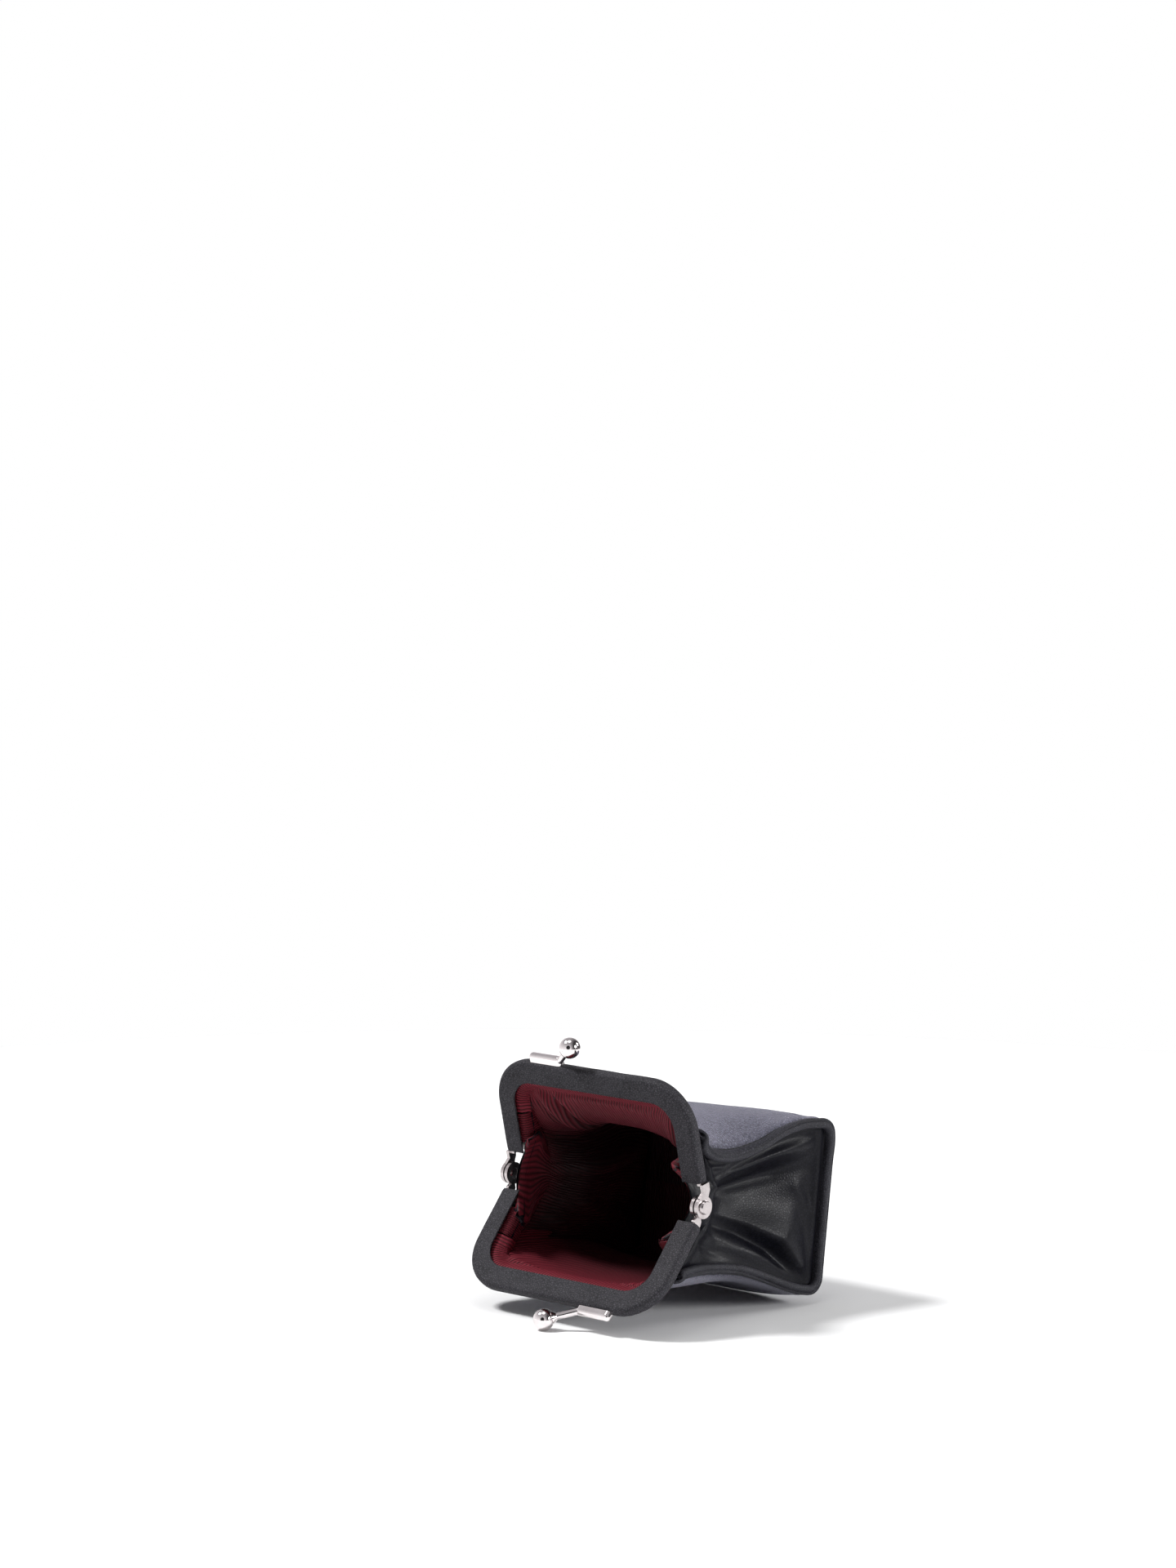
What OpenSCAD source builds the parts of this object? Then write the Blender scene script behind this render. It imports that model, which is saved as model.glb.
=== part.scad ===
// Open coin purse: two leather-covered metal arms hinged by rivets, a ball clasp on their bars,
// and a leather bag with side gussets and a fabric lining. It lies open on the rear edge of its
// back panel and on the ball of the lower arm. Millimetres, X along the hinge line, -Y is the
// mouth, +Z is up, origin under the middle of the whole part on the table.

/* [Frame] */
// Full width of the covered arms
arm_span = 71.6; // [68:0.2:76]
// From the hinge pin to the outer edge of the bar
arm_reach = 34.5; // [33:0.5:37]
// Outer corner radius of the arms
arm_corner_r = 13.5; // [12:0.5:14.5]
// Width of the covered band, seen on its closing face
band_w = 6.4; // [6:0.1:6.8]
// Thickness of the covered band
band_t = 3.6; // [3.4:0.1:4]
// Rounding of the covered band's outer edges
band_round = 1.1; // [0.8:0.1:1.3]
// Slope of the open upper arm above the table
upper_slope = 76; // [72:1:80]
// Slope of the open lower arm below the hinge
lower_slope = 51; // [48:1:53]
// Space between the two closing faces when shut
closing_gap = 0.3; // [0.2:0.1:0.5]
// Leather that covers the metal channel
cover_t = 0.5; // [0.45:0.05:0.55]
// Sheet metal of the channel
channel_wall = 0.45; // [0.4:0.05:0.5]
// Part of the leather seat inside the channel, from the outer edge
seat_u = 4.6; // [4.4:0.1:5]
// Thickness of leather and lining together where they sit in the channel
seat_t = 0.9; // [0.8:0.1:1]
// Diameter of the paper cord pressed into the channel
cord_d = 1.5; // [1.3:0.1:1.6]

/* [Hinge] */
// Radius of the round hinge plate
ear_r = 3.1; // [2.9:0.1:3.3]
// Thickness of the hinge plates
ear_t = 1; // [0.8:0.1:1.1]
// Radius of the rivet's shank
rivet_r = 1.25; // [1.1:0.05:1.4]
// Radius of the rivet's heads
rivet_head_r = 2; // [1.8:0.1:2.2]
// Height of the rivet's outer head
rivet_head_h = 0.8; // [0.7:0.1:0.9]
// Width of the flat top of the rivet's outer head
rivet_flat_w = 3.3; // [3:0.1:3.5]
// Radius of the rivet's inner head
inner_head_r = 1.6; // [1.5:0.1:1.8]
// Height of the rivet's inner head
inner_head_h = 0.4; // [0.3:0.1:0.6]
// Radial running clearance of the rivet in the upper plate
rivet_clear = 0.05; // [0.03:0.01:0.08]
// Clearance under the rivet's outer head
plate_clear = 0.08; // [0.05:0.01:0.1]
// Gap between the lower and the upper hinge plate
plate_gap = 0.5; // [0.3:0.1:0.6]
// Width of the neck of a lower hinge plate
neck_w = 2.2; // [2:0.1:2.4]
// Width of the flare where a lower plate enters the leather
flare_w = 3; // [2.8:0.1:3.2]
// Width of the neck of an upper hinge plate
upper_neck_w = 2.6; // [2.4:0.1:2.8]
// Width of the tongue inside the channel
tongue_w = 1.5; // [1.4:0.1:1.6]
// Length of the tongue inside the channel
tongue_l = 4; // [3:0.5:5]
// Bare hinge plate between the pin and the upper arm's leather
upper_bare = 6.4; // [6:0.2:7]
// Bare hinge plate between the pin and the lower arm's leather
lower_bare = 4.8; // [4.6:0.2:5.4]

/* [Clasp] */
// Diameter of the clasp balls
ball_d = 5.9; // [5.6:0.1:6]
// Sideways distance between the two balls
ball_pitch = 6.1; // [6.1:0.1:6.6]
// Height of a ball's centre over the bar
ball_rise = 7; // [6.6:0.1:7.4]
// How far a ball's centre passes the closing plane
ball_over = 1.2; // [1:0.1:1.4]
// Length of the half-round strip
strip_l = 9.5; // [9:0.5:11]
// Height of the strip's foot below its half-round top
strip_foot = 1.2; // [1:0.1:1.4]
// Width of the half-round strip
strip_w = 2.6; // [2.4:0.1:2.8]
// Sideways run of the stem from the strip to the ball
stem_run = 8; // [7:0.5:8.5]
// Diameter of the stem under a ball
stem_d = 1.8; // [1.6:0.1:2]
// Diameter of the small cup under a ball
cup_d = 3.6; // [3.4:0.1:3.8]

/* [Bag] */
// How far each side seam lies inside the frame's outer edge
side_step = 1.8; // [1.5:0.1:2.5]
// From the hinge pin to the rear face of the bag
bag_depth = 58; // [56:0.5:60]
// Height of the bag's rear panel
bag_h = 51; // [50:0.5:52]
// How far the rear panel's lower edge lies in from its upper edge
rear_lean = 5; // [4:0.5:6]
// Narrowing of the bag on each side at its waist
waist_in = 2; // [1.5:0.5:2.5]
// Radius of the bag's rear corners
rear_r = 4.5; // [4:0.5:5]
// Leather of the bag
leather_t = 1; // [0.9:0.05:1.1]
// Fabric of the lining
lining_t = 0.35; // [0.3:0.05:0.4]
// Space between leather and lining
lining_gap = 0.2; // [0.15:0.05:0.25]
// Width of the sewn rims along the bag's sides
rim_w = 2.4; // [2.2:0.1:2.8]
// Inward fold of the gussets behind the hinges
fold_in = 6; // [5:0.5:7]
// How far the bag's lower rear corners are drawn up at the side seams
seam_rise = 3.5; // [2.5:0.25:4]
// Gap where the strip is cut at its folds
end_gap = 0.5; // [0.4:0.05:0.6]
// Leather of the side gussets
gusset_t = 0.8; // [0.7:0.05:0.9]
// Distance from the pin to where a gusset leaves an arm
gusset_end = 8.6; // [8:0.2:9.6]
// How far behind the pins the gussets' free edges lie
hinge_back = 2.5; // [2:0.25:3]
// Space between soft pieces of two bodies
soft_gap = 0.3; // [0.25:0.05:0.4]
// Distance from the pin to where the side seam meets an arm
seam_leg = 20; // [19:0.5:21]
// Board sewn into the rear panel
board_t = 0.8; // [0.6:0.1:1]

/* [Hidden] */
$fn = 48;
cover_colour = [0.2, 0.21, 0.24];
leather_colour = [0.24, 0.25, 0.3];
gusset_colour = [0.2, 0.21, 0.25];
lining_colour = [0.42, 0.12, 0.18];
nickel = [0.8, 0.8, 0.8];
steel = [0.6, 0.6, 0.6];
paper = [0.75, 0.65, 0.5];
col_n = 7;
row_n = 10;
end_turn = 14;
half_span = arm_span / 2;
bar_half = half_span - arm_corner_r;
leg_top = arm_reach - arm_corner_r;
band_v0 = closing_gap / 2;
band_vc = band_v0 + band_t / 2;
channel_d = band_w - 2 * cover_t;
channel_t = band_t - 2 * cover_t;
slot_t = channel_t - 2 * channel_wall;
up_a = 180 - upper_slope;
lo_a = 180 + lower_slope;

// The ball of the lower arm touches the table.
pin_z = (arm_reach + ball_rise) * sin(lower_slope) - ball_over * cos(lower_slope) + ball_d / 2;
foremost = (arm_reach + ball_rise) * cos(lower_slope) + ball_over * sin(lower_slope) + ball_d / 2;
mid_y = (bag_depth - foremost) / 2;

// Hinge plates, from the inside outwards.
low_plate_x = half_span - cover_t - channel_wall - ear_t;
up_plate_x = low_plate_x + ear_t + plate_gap;
outer_head_x = up_plate_x + ear_t + plate_clear;
// Placing of the arms: local x, y away from the pin and z away from the closing plane.
module lower_place() {
    translate([0, -mid_y, pin_z])
        rotate([lo_a, 0, 0])
            children();
}

module upper_place() {
    translate([0, -mid_y, pin_z])
        rotate([up_a, 0, 0])
            mirror([0, 0, 1])
                children();
}

// Sweeps a section drawn as x = inwards from the outer edge, y = away from the closing plane.
module arch_sweep(leg_start) {
    for (side = [0, 1])
        mirror([side, 0, 0]) {
            translate([half_span, leg_start, 0])
                rotate([90, 0, 180])
                    linear_extrude(leg_top - leg_start)
                        children();
            translate([bar_half, leg_top, 0])
                rotate_extrude(angle = 90)
                    translate([arm_corner_r, 0])
                        mirror([1, 0])
                            children();
        }
    translate([bar_half, arm_reach, 0])
        rotate([90, 0, -90])
            linear_extrude(2 * bar_half)
                children();
}

module band_section() {
    difference() {
        union() {
            translate([0, band_v0 + band_round])
                square([band_w, band_t - 2 * band_round]);
            translate([band_round, band_v0])
                square([band_w - 2 * band_round, band_t]);
            for (px = [band_round, band_w - band_round])
                for (py = [band_v0 + band_round, band_v0 + band_t - band_round])
                    translate([px, py])
                        circle(band_round);
        }
        translate([cover_t, band_v0 + cover_t])
            square([band_w, channel_t]);
    }
}

module channel_section() {
    difference() {
        translate([cover_t, band_v0 + cover_t])
            square([channel_d, channel_t]);
        translate([cover_t + channel_wall, band_v0 + cover_t + channel_wall])
            square([channel_d, slot_t]);
    }
}

module cord_section() {
    translate([cover_t + channel_wall + cord_d / 2, band_vc])
        circle(cord_d / 2);
}

// Seen along X with x = away from the pin and y = away from the closing plane: a disc round
// the pin, a narrow neck, a flare, and a tongue that goes up inside the channel.
module plate_outline(bare, neck, flare) {
    neck_shares = [0.62, 0.84];
    union() {
        circle(ear_r);
        polygon([
            [0, -ear_r * sqrt(0.5)], [ear_r * sqrt(0.5), -ear_r * sqrt(0.5)],
            [bare * neck_shares[0], band_vc - neck / 2], [bare * neck_shares[1], band_vc - flare / 2],
            [bare - soft_gap, band_vc - flare / 2], [bare - soft_gap, band_vc + flare / 2],
            [bare * neck_shares[1], band_vc + flare / 2], [bare * neck_shares[0], band_vc + neck / 2],
            [ear_r * sqrt(0.5), ear_r * sqrt(0.5)]
        ]);
    }
}

module plate_tongue(bare) {
    translate([bare * 0.84, band_vc - tongue_w / 2])
        square([bare * 0.16 + tongue_l, tongue_w]);
}

module along_x() {
    rotate([90, 0, 90])
        children();
}

module lower_plate() {
    difference() {
        translate([low_plate_x, 0, 0])
            along_x()
                linear_extrude(ear_t) {
                    plate_outline(lower_bare, neck_w, flare_w);
                    plate_tongue(lower_bare);
                }
        translate([low_plate_x - ear_t, 0, 0])
            along_x()
                cylinder(r = rivet_r, h = 3 * ear_t);
    }
}

module upper_plate() {
    difference() {
        union() {
            translate([up_plate_x, 0, 0])
                along_x()
                    linear_extrude(ear_t)
                        plate_outline(upper_bare, upper_neck_w, upper_neck_w * 1.04);
            // The joggle steps in to the channel, and the tongue goes on inside it.
            translate([low_plate_x, 0, 0])
                along_x()
                    linear_extrude(ear_t)
                        plate_tongue(upper_bare);
            translate([low_plate_x, upper_bare * 0.84, band_vc - tongue_w / 2])
                cube([up_plate_x - low_plate_x + ear_t / 2, upper_bare * 0.16 - soft_gap, tongue_w]);
        }
        translate([low_plate_x - ear_t, 0, 0])
            along_x()
                cylinder(r = rivet_r + rivet_clear, h = 5 * ear_t);
    }
}

// Head with its seat at x = 0, rising along +x: a part of a ball that ends in a flat top.
module rivet_head(r, h, flat_r) {
    drop = (r * r - flat_r * flat_r - h * h) / (2 * h);
    along_x()
        rotate_extrude()
            intersection() {
                translate([0, -drop])
                    circle(sqrt(r * r + drop * drop));
                square([r, h]);
            }
}

module rivet() {
    translate([low_plate_x, 0, 0]) {
        along_x()
            cylinder(r = rivet_r, h = outer_head_x - low_plate_x);
        mirror([1, 0, 0])
            rivet_head(inner_head_r, inner_head_h, 0);
    }
    translate([outer_head_x, 0, 0])
        rivet_head(rivet_head_r, rivet_head_h, rivet_flat_w / 2);
}

// Clasp of one arm: the strip lies on the bar, and its inner end bends up to the ball.
strip_x = ball_pitch / 2 + stem_run;
ball_at = [ball_pitch / 2, arm_reach + ball_rise, -ball_over];
stem_from = [strip_x, arm_reach + stem_d / 2, band_vc];
stem_vec = ball_at - stem_from;
stem_len = norm(stem_vec);
stem_turn = atan2(stem_vec[1], stem_vec[0]);
stem_tilt = acos(stem_vec[2] / stem_len);

module stem_place() {
    translate(stem_from)
        rotate([0, stem_tilt, stem_turn])
            children();
}

module strip_profile() {
    r = strip_w / 2;
    intersection() {
        square([r, strip_l + strip_w]);
        union() {
            translate([0, r])
                square([r, strip_l]);
            translate([0, r])
                circle(r);
            translate([0, r + strip_l])
                circle(r);
        }
    }
}

module strip_plan() {
    translate([0, -strip_w / 2])
        square([strip_l, strip_w]);
    circle(strip_w / 2);
    translate([strip_l, 0])
        circle(strip_w / 2);
}

module clasp_strip() {
    translate([strip_x, arm_reach, band_vc])
        rotate([-90, 0, 0])
            linear_extrude(strip_foot)
                strip_plan();
    translate([strip_x - strip_w / 2, arm_reach + strip_foot, band_vc])
        along_x()
            rotate([0, 0, -90])
                rotate_extrude(angle = 180)
                    strip_profile();
    difference() {
        stem_place() {
            sphere(stem_d / 2);
            cylinder(d1 = stem_d * 1.15, d2 = stem_d, h = stem_len - ball_d * 0.4);
            translate([0, 0, stem_len - ball_d * 0.62])
                cylinder(d1 = stem_d, d2 = cup_d, h = ball_d * 0.2);
        }
        translate(ball_at)
            sphere(ball_d / 2);
    }
}

module clasp_ball() {
    translate(ball_at)
        sphere(ball_d / 2);
}

// Soft sheets are grids of points on the outer face, made into thin closed solids.
up_dir = [0, -cos(upper_slope), sin(upper_slope)];
up_out = [0, sin(upper_slope), cos(upper_slope)];
lo_dir = [0, -cos(lower_slope), -sin(lower_slope)];
lo_out = [0, sin(lower_slope), -cos(lower_slope)];
pin_at = [0, -mid_y, pin_z];

// A point of an arm: x, distance from the pin, distance from the closing plane.
function up_pt(x, y, v) = pin_at + [x, 0, 0] + y * up_dir + v * up_out;
function lo_pt(x, y, v) = pin_at + [x, 0, 0] + y * lo_dir + v * lo_out;

// The line along an arm at the depth u inwards of its outer edge, by share of its half length.
arc_r = arm_corner_r - seat_u;
path_l = bar_half + arc_r * PI / 2 + leg_top - seam_leg;
function arch_at(r, u) =
    let (s = r * path_l, a = (s - bar_half) / arc_r * 180 / PI)
    s <= bar_half ? [s, arm_reach - u]
    : a <= 90 ? [bar_half + (arm_corner_r - u) * sin(a), leg_top + (arm_corner_r - u) * cos(a)]
    : [half_span - u, leg_top - (s - bar_half - arc_r * PI / 2)];

// Rows in and behind the channel: depth from the outer edge and distance from the closing plane.
seat_v = band_vc + seat_t / 2;
exit_rows = [
    [seat_u, seat_v], [band_w + soft_gap * 1.5, seat_v],
    [band_w + leather_t * 1.3, band_vc + band_t * 0.4],
    [band_w + leather_t * 2, band_v0 + band_t + leather_t]
];

// Outer faces along the bag, from the mouth to the rear corner: shares of the bag's depth behind
// the pin and of its height, on the middle line and along the side seam, then the half width.
// The front has a third share, of how far the mouth's upper edge lies above the rear panel.
mouth_rise = up_pt(0, arm_reach - exit_rows[3][0], exit_rows[3][1])[2] - bag_h;
front_mid_shares = [
    [-0.026, 1, 0.967], [0.086, 1, 0.838], [0.241, 1, 0.663], [0.38, 1, 0.514],
    [0.534, 1, 0.365], [0.672, 1, 0.231], [0.81, 1, 0.113], [0.922, 1, 0]
];
front_seam_shares = [
    [0.03, 0.871, 0.967], [0.11, 0.774, 0.838], [0.238, 0.759, 0.663], [0.362, 0.78, 0.514],
    [0.517, 0.845, 0.365], [0.655, 0.935, 0.231], [0.793, 0.988, 0.113], [0.922, 1, 0]
];
front_waist_shares = [-0.3, 0.2, 0.7, 1, 0.85, 0.5, 0.15, 0];
back_mid_shares = [
    [-0.203, 0.198], [-0.11, 0.17], [0.034, 0.153], [0.207, 0.143],
    [0.379, 0.135], [0.545, 0.121], [0.71, 0.072], [0.836, 0]
];
back_seam_shares = [
    [-0.134, 0.306], [-0.034, 0.322], [0.086, 0.318], [0.216, 0.298],
    [0.362, 0.263], [0.517, 0.194], [0.69, 0.11], [0.836, seam_rise / bag_h]
];
back_waist_shares = [-0.4, 0, 0.5, 0.8, 0.85, 0.6, 0.2, 0];

// Smooth curve through a list of points or numbers, at t from 0 to 1.
function curve(p, t) =
    let (n = len(p) - 1, i = min(floor(t * n), n - 1), f = t * n - i,
        a = p[max(i - 1, 0)], b = p[i], c = p[i + 1], d = p[min(i + 2, n)])
    b + f * ((c - a) / 2 + f * ((a - 2.5 * b + 2 * c - 0.5 * d) + f * (1.5 * (b - c) + (d - a) / 2)));

function lifted(share) = len(share) > 2 ? share[2] * mouth_rise : 0;
function yz(share, x) = [x, share[0] * bag_depth - mid_y, share[1] * bag_h + lifted(share)];
half_w = half_span - side_step;

// Body row at t from the mouth (0) to the rear corner (1), r across from the middle to the seam.
function body_pt(mid, seam, waist, t, r) =
    let (m = curve(mid, t), s = curve(seam, t), w = half_w - waist_in * curve(waist, t))
    yz(m + (s - m) * pow(r, 3), r * w);

// Grid columns run over the whole width, and -1 to 1 maps to both seams.
cols = [for (k = [-col_n:col_n]) k / col_n];
rows_t = [for (k = [0:row_n]) k / row_n * (1 - 2 * end_gap / bag_depth)];
back_rows_t = [for (k = [0:row_n]) k / row_n * (1 - 4 * end_gap / bag_depth)];
function flip(p, c) = [c < 0 ? -p[0] : p[0], p[1], p[2]];

front_grid = concat(
    [for (e = exit_rows) [for (c = cols)
        let (q = arch_at(abs(c), e[0])) flip(up_pt(q[0], q[1], e[1]), c)]],
    [for (t = rows_t) [for (c = cols)
        flip(body_pt(front_mid_shares, front_seam_shares, front_waist_shares, t, abs(c)), c)]]
);
back_grid = concat(
    [for (e = exit_rows) [for (c = cols)
        let (q = arch_at(abs(c), e[0])) flip(lo_pt(q[0], q[1], e[1]), c)]],
    [for (t = back_rows_t) [for (c = cols)
        flip(body_pt(back_mid_shares, back_seam_shares, back_waist_shares, t, abs(c)), c)]]
);

// Rear panel: round the upper corner, down, and round the lower corner.
top_c = [bag_depth - rear_r, bag_h - rear_r];
low_c = [bag_depth - rear_lean - rear_r, rear_r];
rear_line = concat(
    [top_c + [-end_gap, rear_r]],
    [for (a = [90:-22.5:0]) top_c + rear_r * [cos(a), sin(a)]],
    [for (k = [1:4]) top_c + [rear_r, 0] + (low_c - top_c) * k / 5],
    [for (a = [0:-22.5:-90]) low_c + rear_r * [cos(a), sin(a)]],
    [low_c - [end_gap, rear_r]]
);
// The lower rear corners are drawn up along the rear face, less and less towards its middle.
rear_up = (top_c - low_c) / norm(top_c - low_c);
function drawn(p, c) =
    p + rear_up * seam_rise * pow(abs(c), 3) * min(1, max(0, 1 - (p[1] - low_c[1]) / (bag_h / 2)));
function rear_pt(p, c) = let (q = drawn(p, c)) [c * half_w, q[0] - mid_y, q[1]];
rear_grid = [for (p = rear_line) [for (c = cols) rear_pt(p, c)]];

function unit(v) = v / max(norm(v), 0.000001);
function normal(g, i, j) =
    let (n = len(g) - 1, m = len(g[0]) - 1)
    unit(cross(g[i][min(j + 1, m)] - g[i][max(j - 1, 0)], g[min(i + 1, n)][j] - g[max(i - 1, 0)][j]));
function inset(g, d) = [
    for (i = [0:len(g) - 1]) [for (j = [0:len(g[0]) - 1]) g[i][j] + normal(g, i, j) * d[i]]
];
function flat(g) = [for (row = g) each row];

module sheet(a, b) {
    n = len(a);
    m = len(a[0]);
    nm = n * m;
    faces = concat(
        [for (i = [0:n - 2]) for (j = [0:m - 2]) let (k = i * m + j) each [
            [k, k + 1, k + m + 1], [k, k + m + 1, k + m],
            [nm + k, nm + k + m + 1, nm + k + 1], [nm + k, nm + k + m, nm + k + m + 1]
        ]],
        [for (i = [0:n - 2]) let (k = i * m) each [
            [k, k + m, nm + k + m], [k, nm + k + m, nm + k],
            [k + m - 1, nm + k + 2 * m - 1, k + 2 * m - 1], [k + m - 1, nm + k + m - 1, nm + k + 2 * m - 1]
        ]],
        [for (j = [0:m - 2]) let (q = (n - 1) * m + j) each [
            [j, nm + j + 1, j + 1], [j, nm + j, nm + j + 1],
            [q, q + 1, nm + q + 1], [q, nm + q + 1, nm + q]
        ]]
    );
    polyhedron(concat(flat(a), flat(b)), [for (f = faces) [f[2], f[1], f[0]]]);
}

// Thickness of the leather by row: skived where it sits in the channel.
seat_leather = seat_t * 0.55;
seat_lining = seat_t * 0.33;
function by_row(g, seat, full) = [for (i = [0:len(g) - 1]) i < 2 ? seat : full];

// Side gusset, right side, outer face. Columns run from the front seam to the back seam.
across_shares = [0, 0.03, 0.07, 0.15, 0.25, 0.35, 0.39, 0.45, 0.5, 0.55, 0.61, 0.65, 0.75, 0.85, 0.93, 0.97, 1];
last_col = len(across_shares) - 1;
leg_share = 0.35;
free_share = 0.39;
gus_d = leather_t + soft_gap + gusset_t;
leg_from = seam_leg - soft_gap - leather_t * 2;
edge_bulge = seat_u * 1.22;
function on_leg(t) = leg_from - (leg_from - gusset_end) * t / leg_share;
function mouth_pt(t, e, k) =
    let (x = half_span - e[0], fx = min(x, half_span - band_w - 2 * soft_gap), fy = gusset_end - leather_t,
        a = up_pt(fx, fy, e[1]), c = lo_pt(fx, fy, e[1]),
        g = [fx + edge_bulge, 2 * hinge_back + k * leather_t - mid_y, pin_z],
        w = (t - free_share) / (1 - 2 * free_share))
    t <= leg_share ? up_pt(x, on_leg(t), e[1])
    : t >= 1 - leg_share ? lo_pt(x, on_leg(1 - t), e[1])
    : (1 - w) * (1 - w) * a + 2 * w * (1 - w) * g + w * w * c;

// From a seam point, rim point and wall start, fill the row with a wall that is folded inwards.
function wall_row(f0, f1, f2, b2, b1, b0, fold, belly) = [for (t = across_shares)
    t == 0 ? f0 : t == across_shares[1] ? f1 : t == 1 ? b0 : t == across_shares[last_col - 1] ? b1
    : let (w = (t - across_shares[2]) / (across_shares[last_col - 2] - across_shares[2]))
        f2 + (b2 - f2) * w + [-fold * pow(sin(180 * w), 1.4), belly * sin(180 * w), 0]];

last = 2 * col_n;
function inward(g, i) = unit(g[i][last - 1] - g[i][last]);
function rim_pt(g, i, sign, run, d) = g[i][last] + inward(g, i) * run + normal(g, i, last) * sign * d;
wall_in = leather_t * 0.5;
wall_down = leather_t * 1.7;
function body_row(i, fold, belly, more) =
    let (d = gus_d + more[0], e = gus_d + more[1], f1 = rim_pt(front_grid, i, -1, rim_w, d + soft_gap / 2),
        b1 = rim_pt(back_grid, i, 1, rim_w, e + soft_gap / 2))
    wall_row(
        rim_pt(front_grid, i, -1, 0, d), f1, f1 - [wall_in, 0, wall_down],
        b1 - [wall_in, 0, -wall_down], b1, rim_pt(back_grid, i, 1, 0, e), fold, belly
    );
function arc_pt(c, a, r, x) = rear_pt(c + r * [cos(a), sin(a)], x / half_w);
function arc_row(a, x1, r1, x2, r2, drop1, drop2) =
    let (r0 = rear_r - gus_d, d1 = [0, 0, drop1], d2 = [0, 0, drop2])
    wall_row(
        arc_pt(top_c, a, r0, half_w), arc_pt(top_c, a, r1, x1) - d1, arc_pt(top_c, a, r2, x2) - d2,
        arc_pt(low_c, -a, r2, x2) + d2, arc_pt(low_c, -a, r1, x1) + d1, arc_pt(low_c, -a, r0, half_w), 0, 0
    );
rim_x = half_w - rim_w;
rim_r = rear_r - gus_d - soft_gap / 2;
fold_shares = [0, 0.15, 0.5, 0.8, 1, 0.95, 0.85, 0.68, 0.5, 0.3, 0.12];
belly_shares = [1, 1, 0.8, 0.55, 0.35, 0.2, 0.1, 0.04, 0, 0, 0];
belly_back = bag_depth / 5;
leg_row = [band_w + leather_t * 0.4, band_v0 + band_t + leather_t * 2.3];
gusset_rows = [
    exit_rows[0], exit_rows[1],
    [band_w + leather_t, exit_rows[2][1]], [band_w + leather_t, exit_rows[3][1]]
];
gusset_grid = concat(
    [for (k = [0:3]) [for (t = across_shares) mouth_pt(t, gusset_rows[k], k)]],
    [let (b = body_row(4, 0, 0, soft_gap * [2, 5])) [for (j = [0:last_col])
        j < 2 || j > last_col - 2 ? b[j] : mouth_pt(across_shares[j], leg_row, 4)]],
    [for (k = [1:row_n]) body_row(k + 4, fold_in * fold_shares[k], belly_back * belly_shares[k], [0, 0])],
    [for (a = [67.5, 45, 22.5]) arc_row(a, rim_x, rim_r, rim_x - wall_in, rim_r - wall_down, 0, soft_gap)],
    [
        arc_row(end_turn, rim_x, rim_r, rim_x - wall_in, rim_r - wall_in, 0, wall_down),
        arc_row(end_turn / 2, rim_x, rim_r, rim_x, rim_r, 0, wall_down),
        arc_row(0, half_w, rear_r - gus_d, half_w, rear_r - gus_d, wall_in, wall_down)
    ]
);

// Linings: the same faces set in by the leather, narrower than the sewn rims.
function lining_col(a, e) = a <= lining_k ? a : lining_k + (e - lining_k) * (a - lining_k) / (col_n - lining_k);
function narrow(g) = [for (i = [0:len(g) - 1]) [for (j = [0:last])
    let (c = lining_col(abs(cols[j]) * col_n, lining_width_shares[min(i, 6)] * col_n),
        k = floor(min(c, col_n - 1)), f = c - k, q = col_n + k, p = g[i][q] + (g[i][q + 1] - g[i][q]) * f)
    [cols[j] < 0 ? -p[0] : p[0], p[1], p[2]]]];
lining_k = 4;
lining_share = 1 - (rim_w + leather_t * 3.6) / half_w;
lining_width_shares = [0.75, 0.75, 0.75, 0.7, 0.7, 0.76, lining_share];
lining_d = leather_t + lining_gap;
board_d = leather_t + lining_gap;
rear_lining_d = board_d + board_t + lining_gap;

module panel(g, side) {
    ft = by_row(g, seat_leather, leather_t);
    if (side > 0)
        sheet(g, inset(g, -ft));
    else
        sheet(inset(g, ft), g);
}

// The lining keeps a little more room where the sheets turn out of the channel.
turn_room_shares = [0, 0, 1.2, 2, 2.6, 1.8, 1];
function room(i) = i < 7 ? turn_room_shares[i] * lining_gap * 1.5 : 0;
function lining_row(g, seat, full) = [for (i = [0:len(g) - 1]) i < 2 ? seat : full + sign(full) * room(i)];
function inset_part(g, d, i1, j0, j1) = [
    for (i = [0:i1]) [for (j = [j0:j1]) g[i][j] + normal(g, i, j) * d[i]]
];

module lining(g, side) {
    a = lining_row(g, seat_t - seat_lining, lining_d);
    b = lining_row(g, seat_t, lining_d + lining_t);
    if (side > 0)
        sheet(narrow(inset(g, -a)), narrow(inset(g, -b)));
    else
        sheet(narrow(inset(g, b)), narrow(inset(g, a)));
}

module upper_frame_cover() {
    color(cover_colour)
        upper_place()
            arch_sweep(upper_bare)
                band_section();
}

module upper_frame_channel() {
    color(steel)
        upper_place()
            arch_sweep(upper_bare)
                channel_section();
}

module upper_channel_cord() {
    color(paper)
        upper_place()
            arch_sweep(upper_bare + tongue_l + soft_gap)
                cord_section();
}

module upper_hinge_plate_left() {
    color(nickel)
        upper_place()
            mirror([1, 0, 0])
                upper_plate();
}

module upper_hinge_plate_right() {
    color(nickel)
        upper_place()
            upper_plate();
}

module upper_clasp_strip() {
    color(nickel)
        upper_place()
            mirror([1, 0, 0])
                clasp_strip();
}

module upper_clasp_ball() {
    color(nickel)
        upper_place()
            mirror([1, 0, 0])
                clasp_ball();
}

module lower_frame_cover() {
    color(cover_colour)
        lower_place()
            arch_sweep(lower_bare)
                band_section();
}

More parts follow.
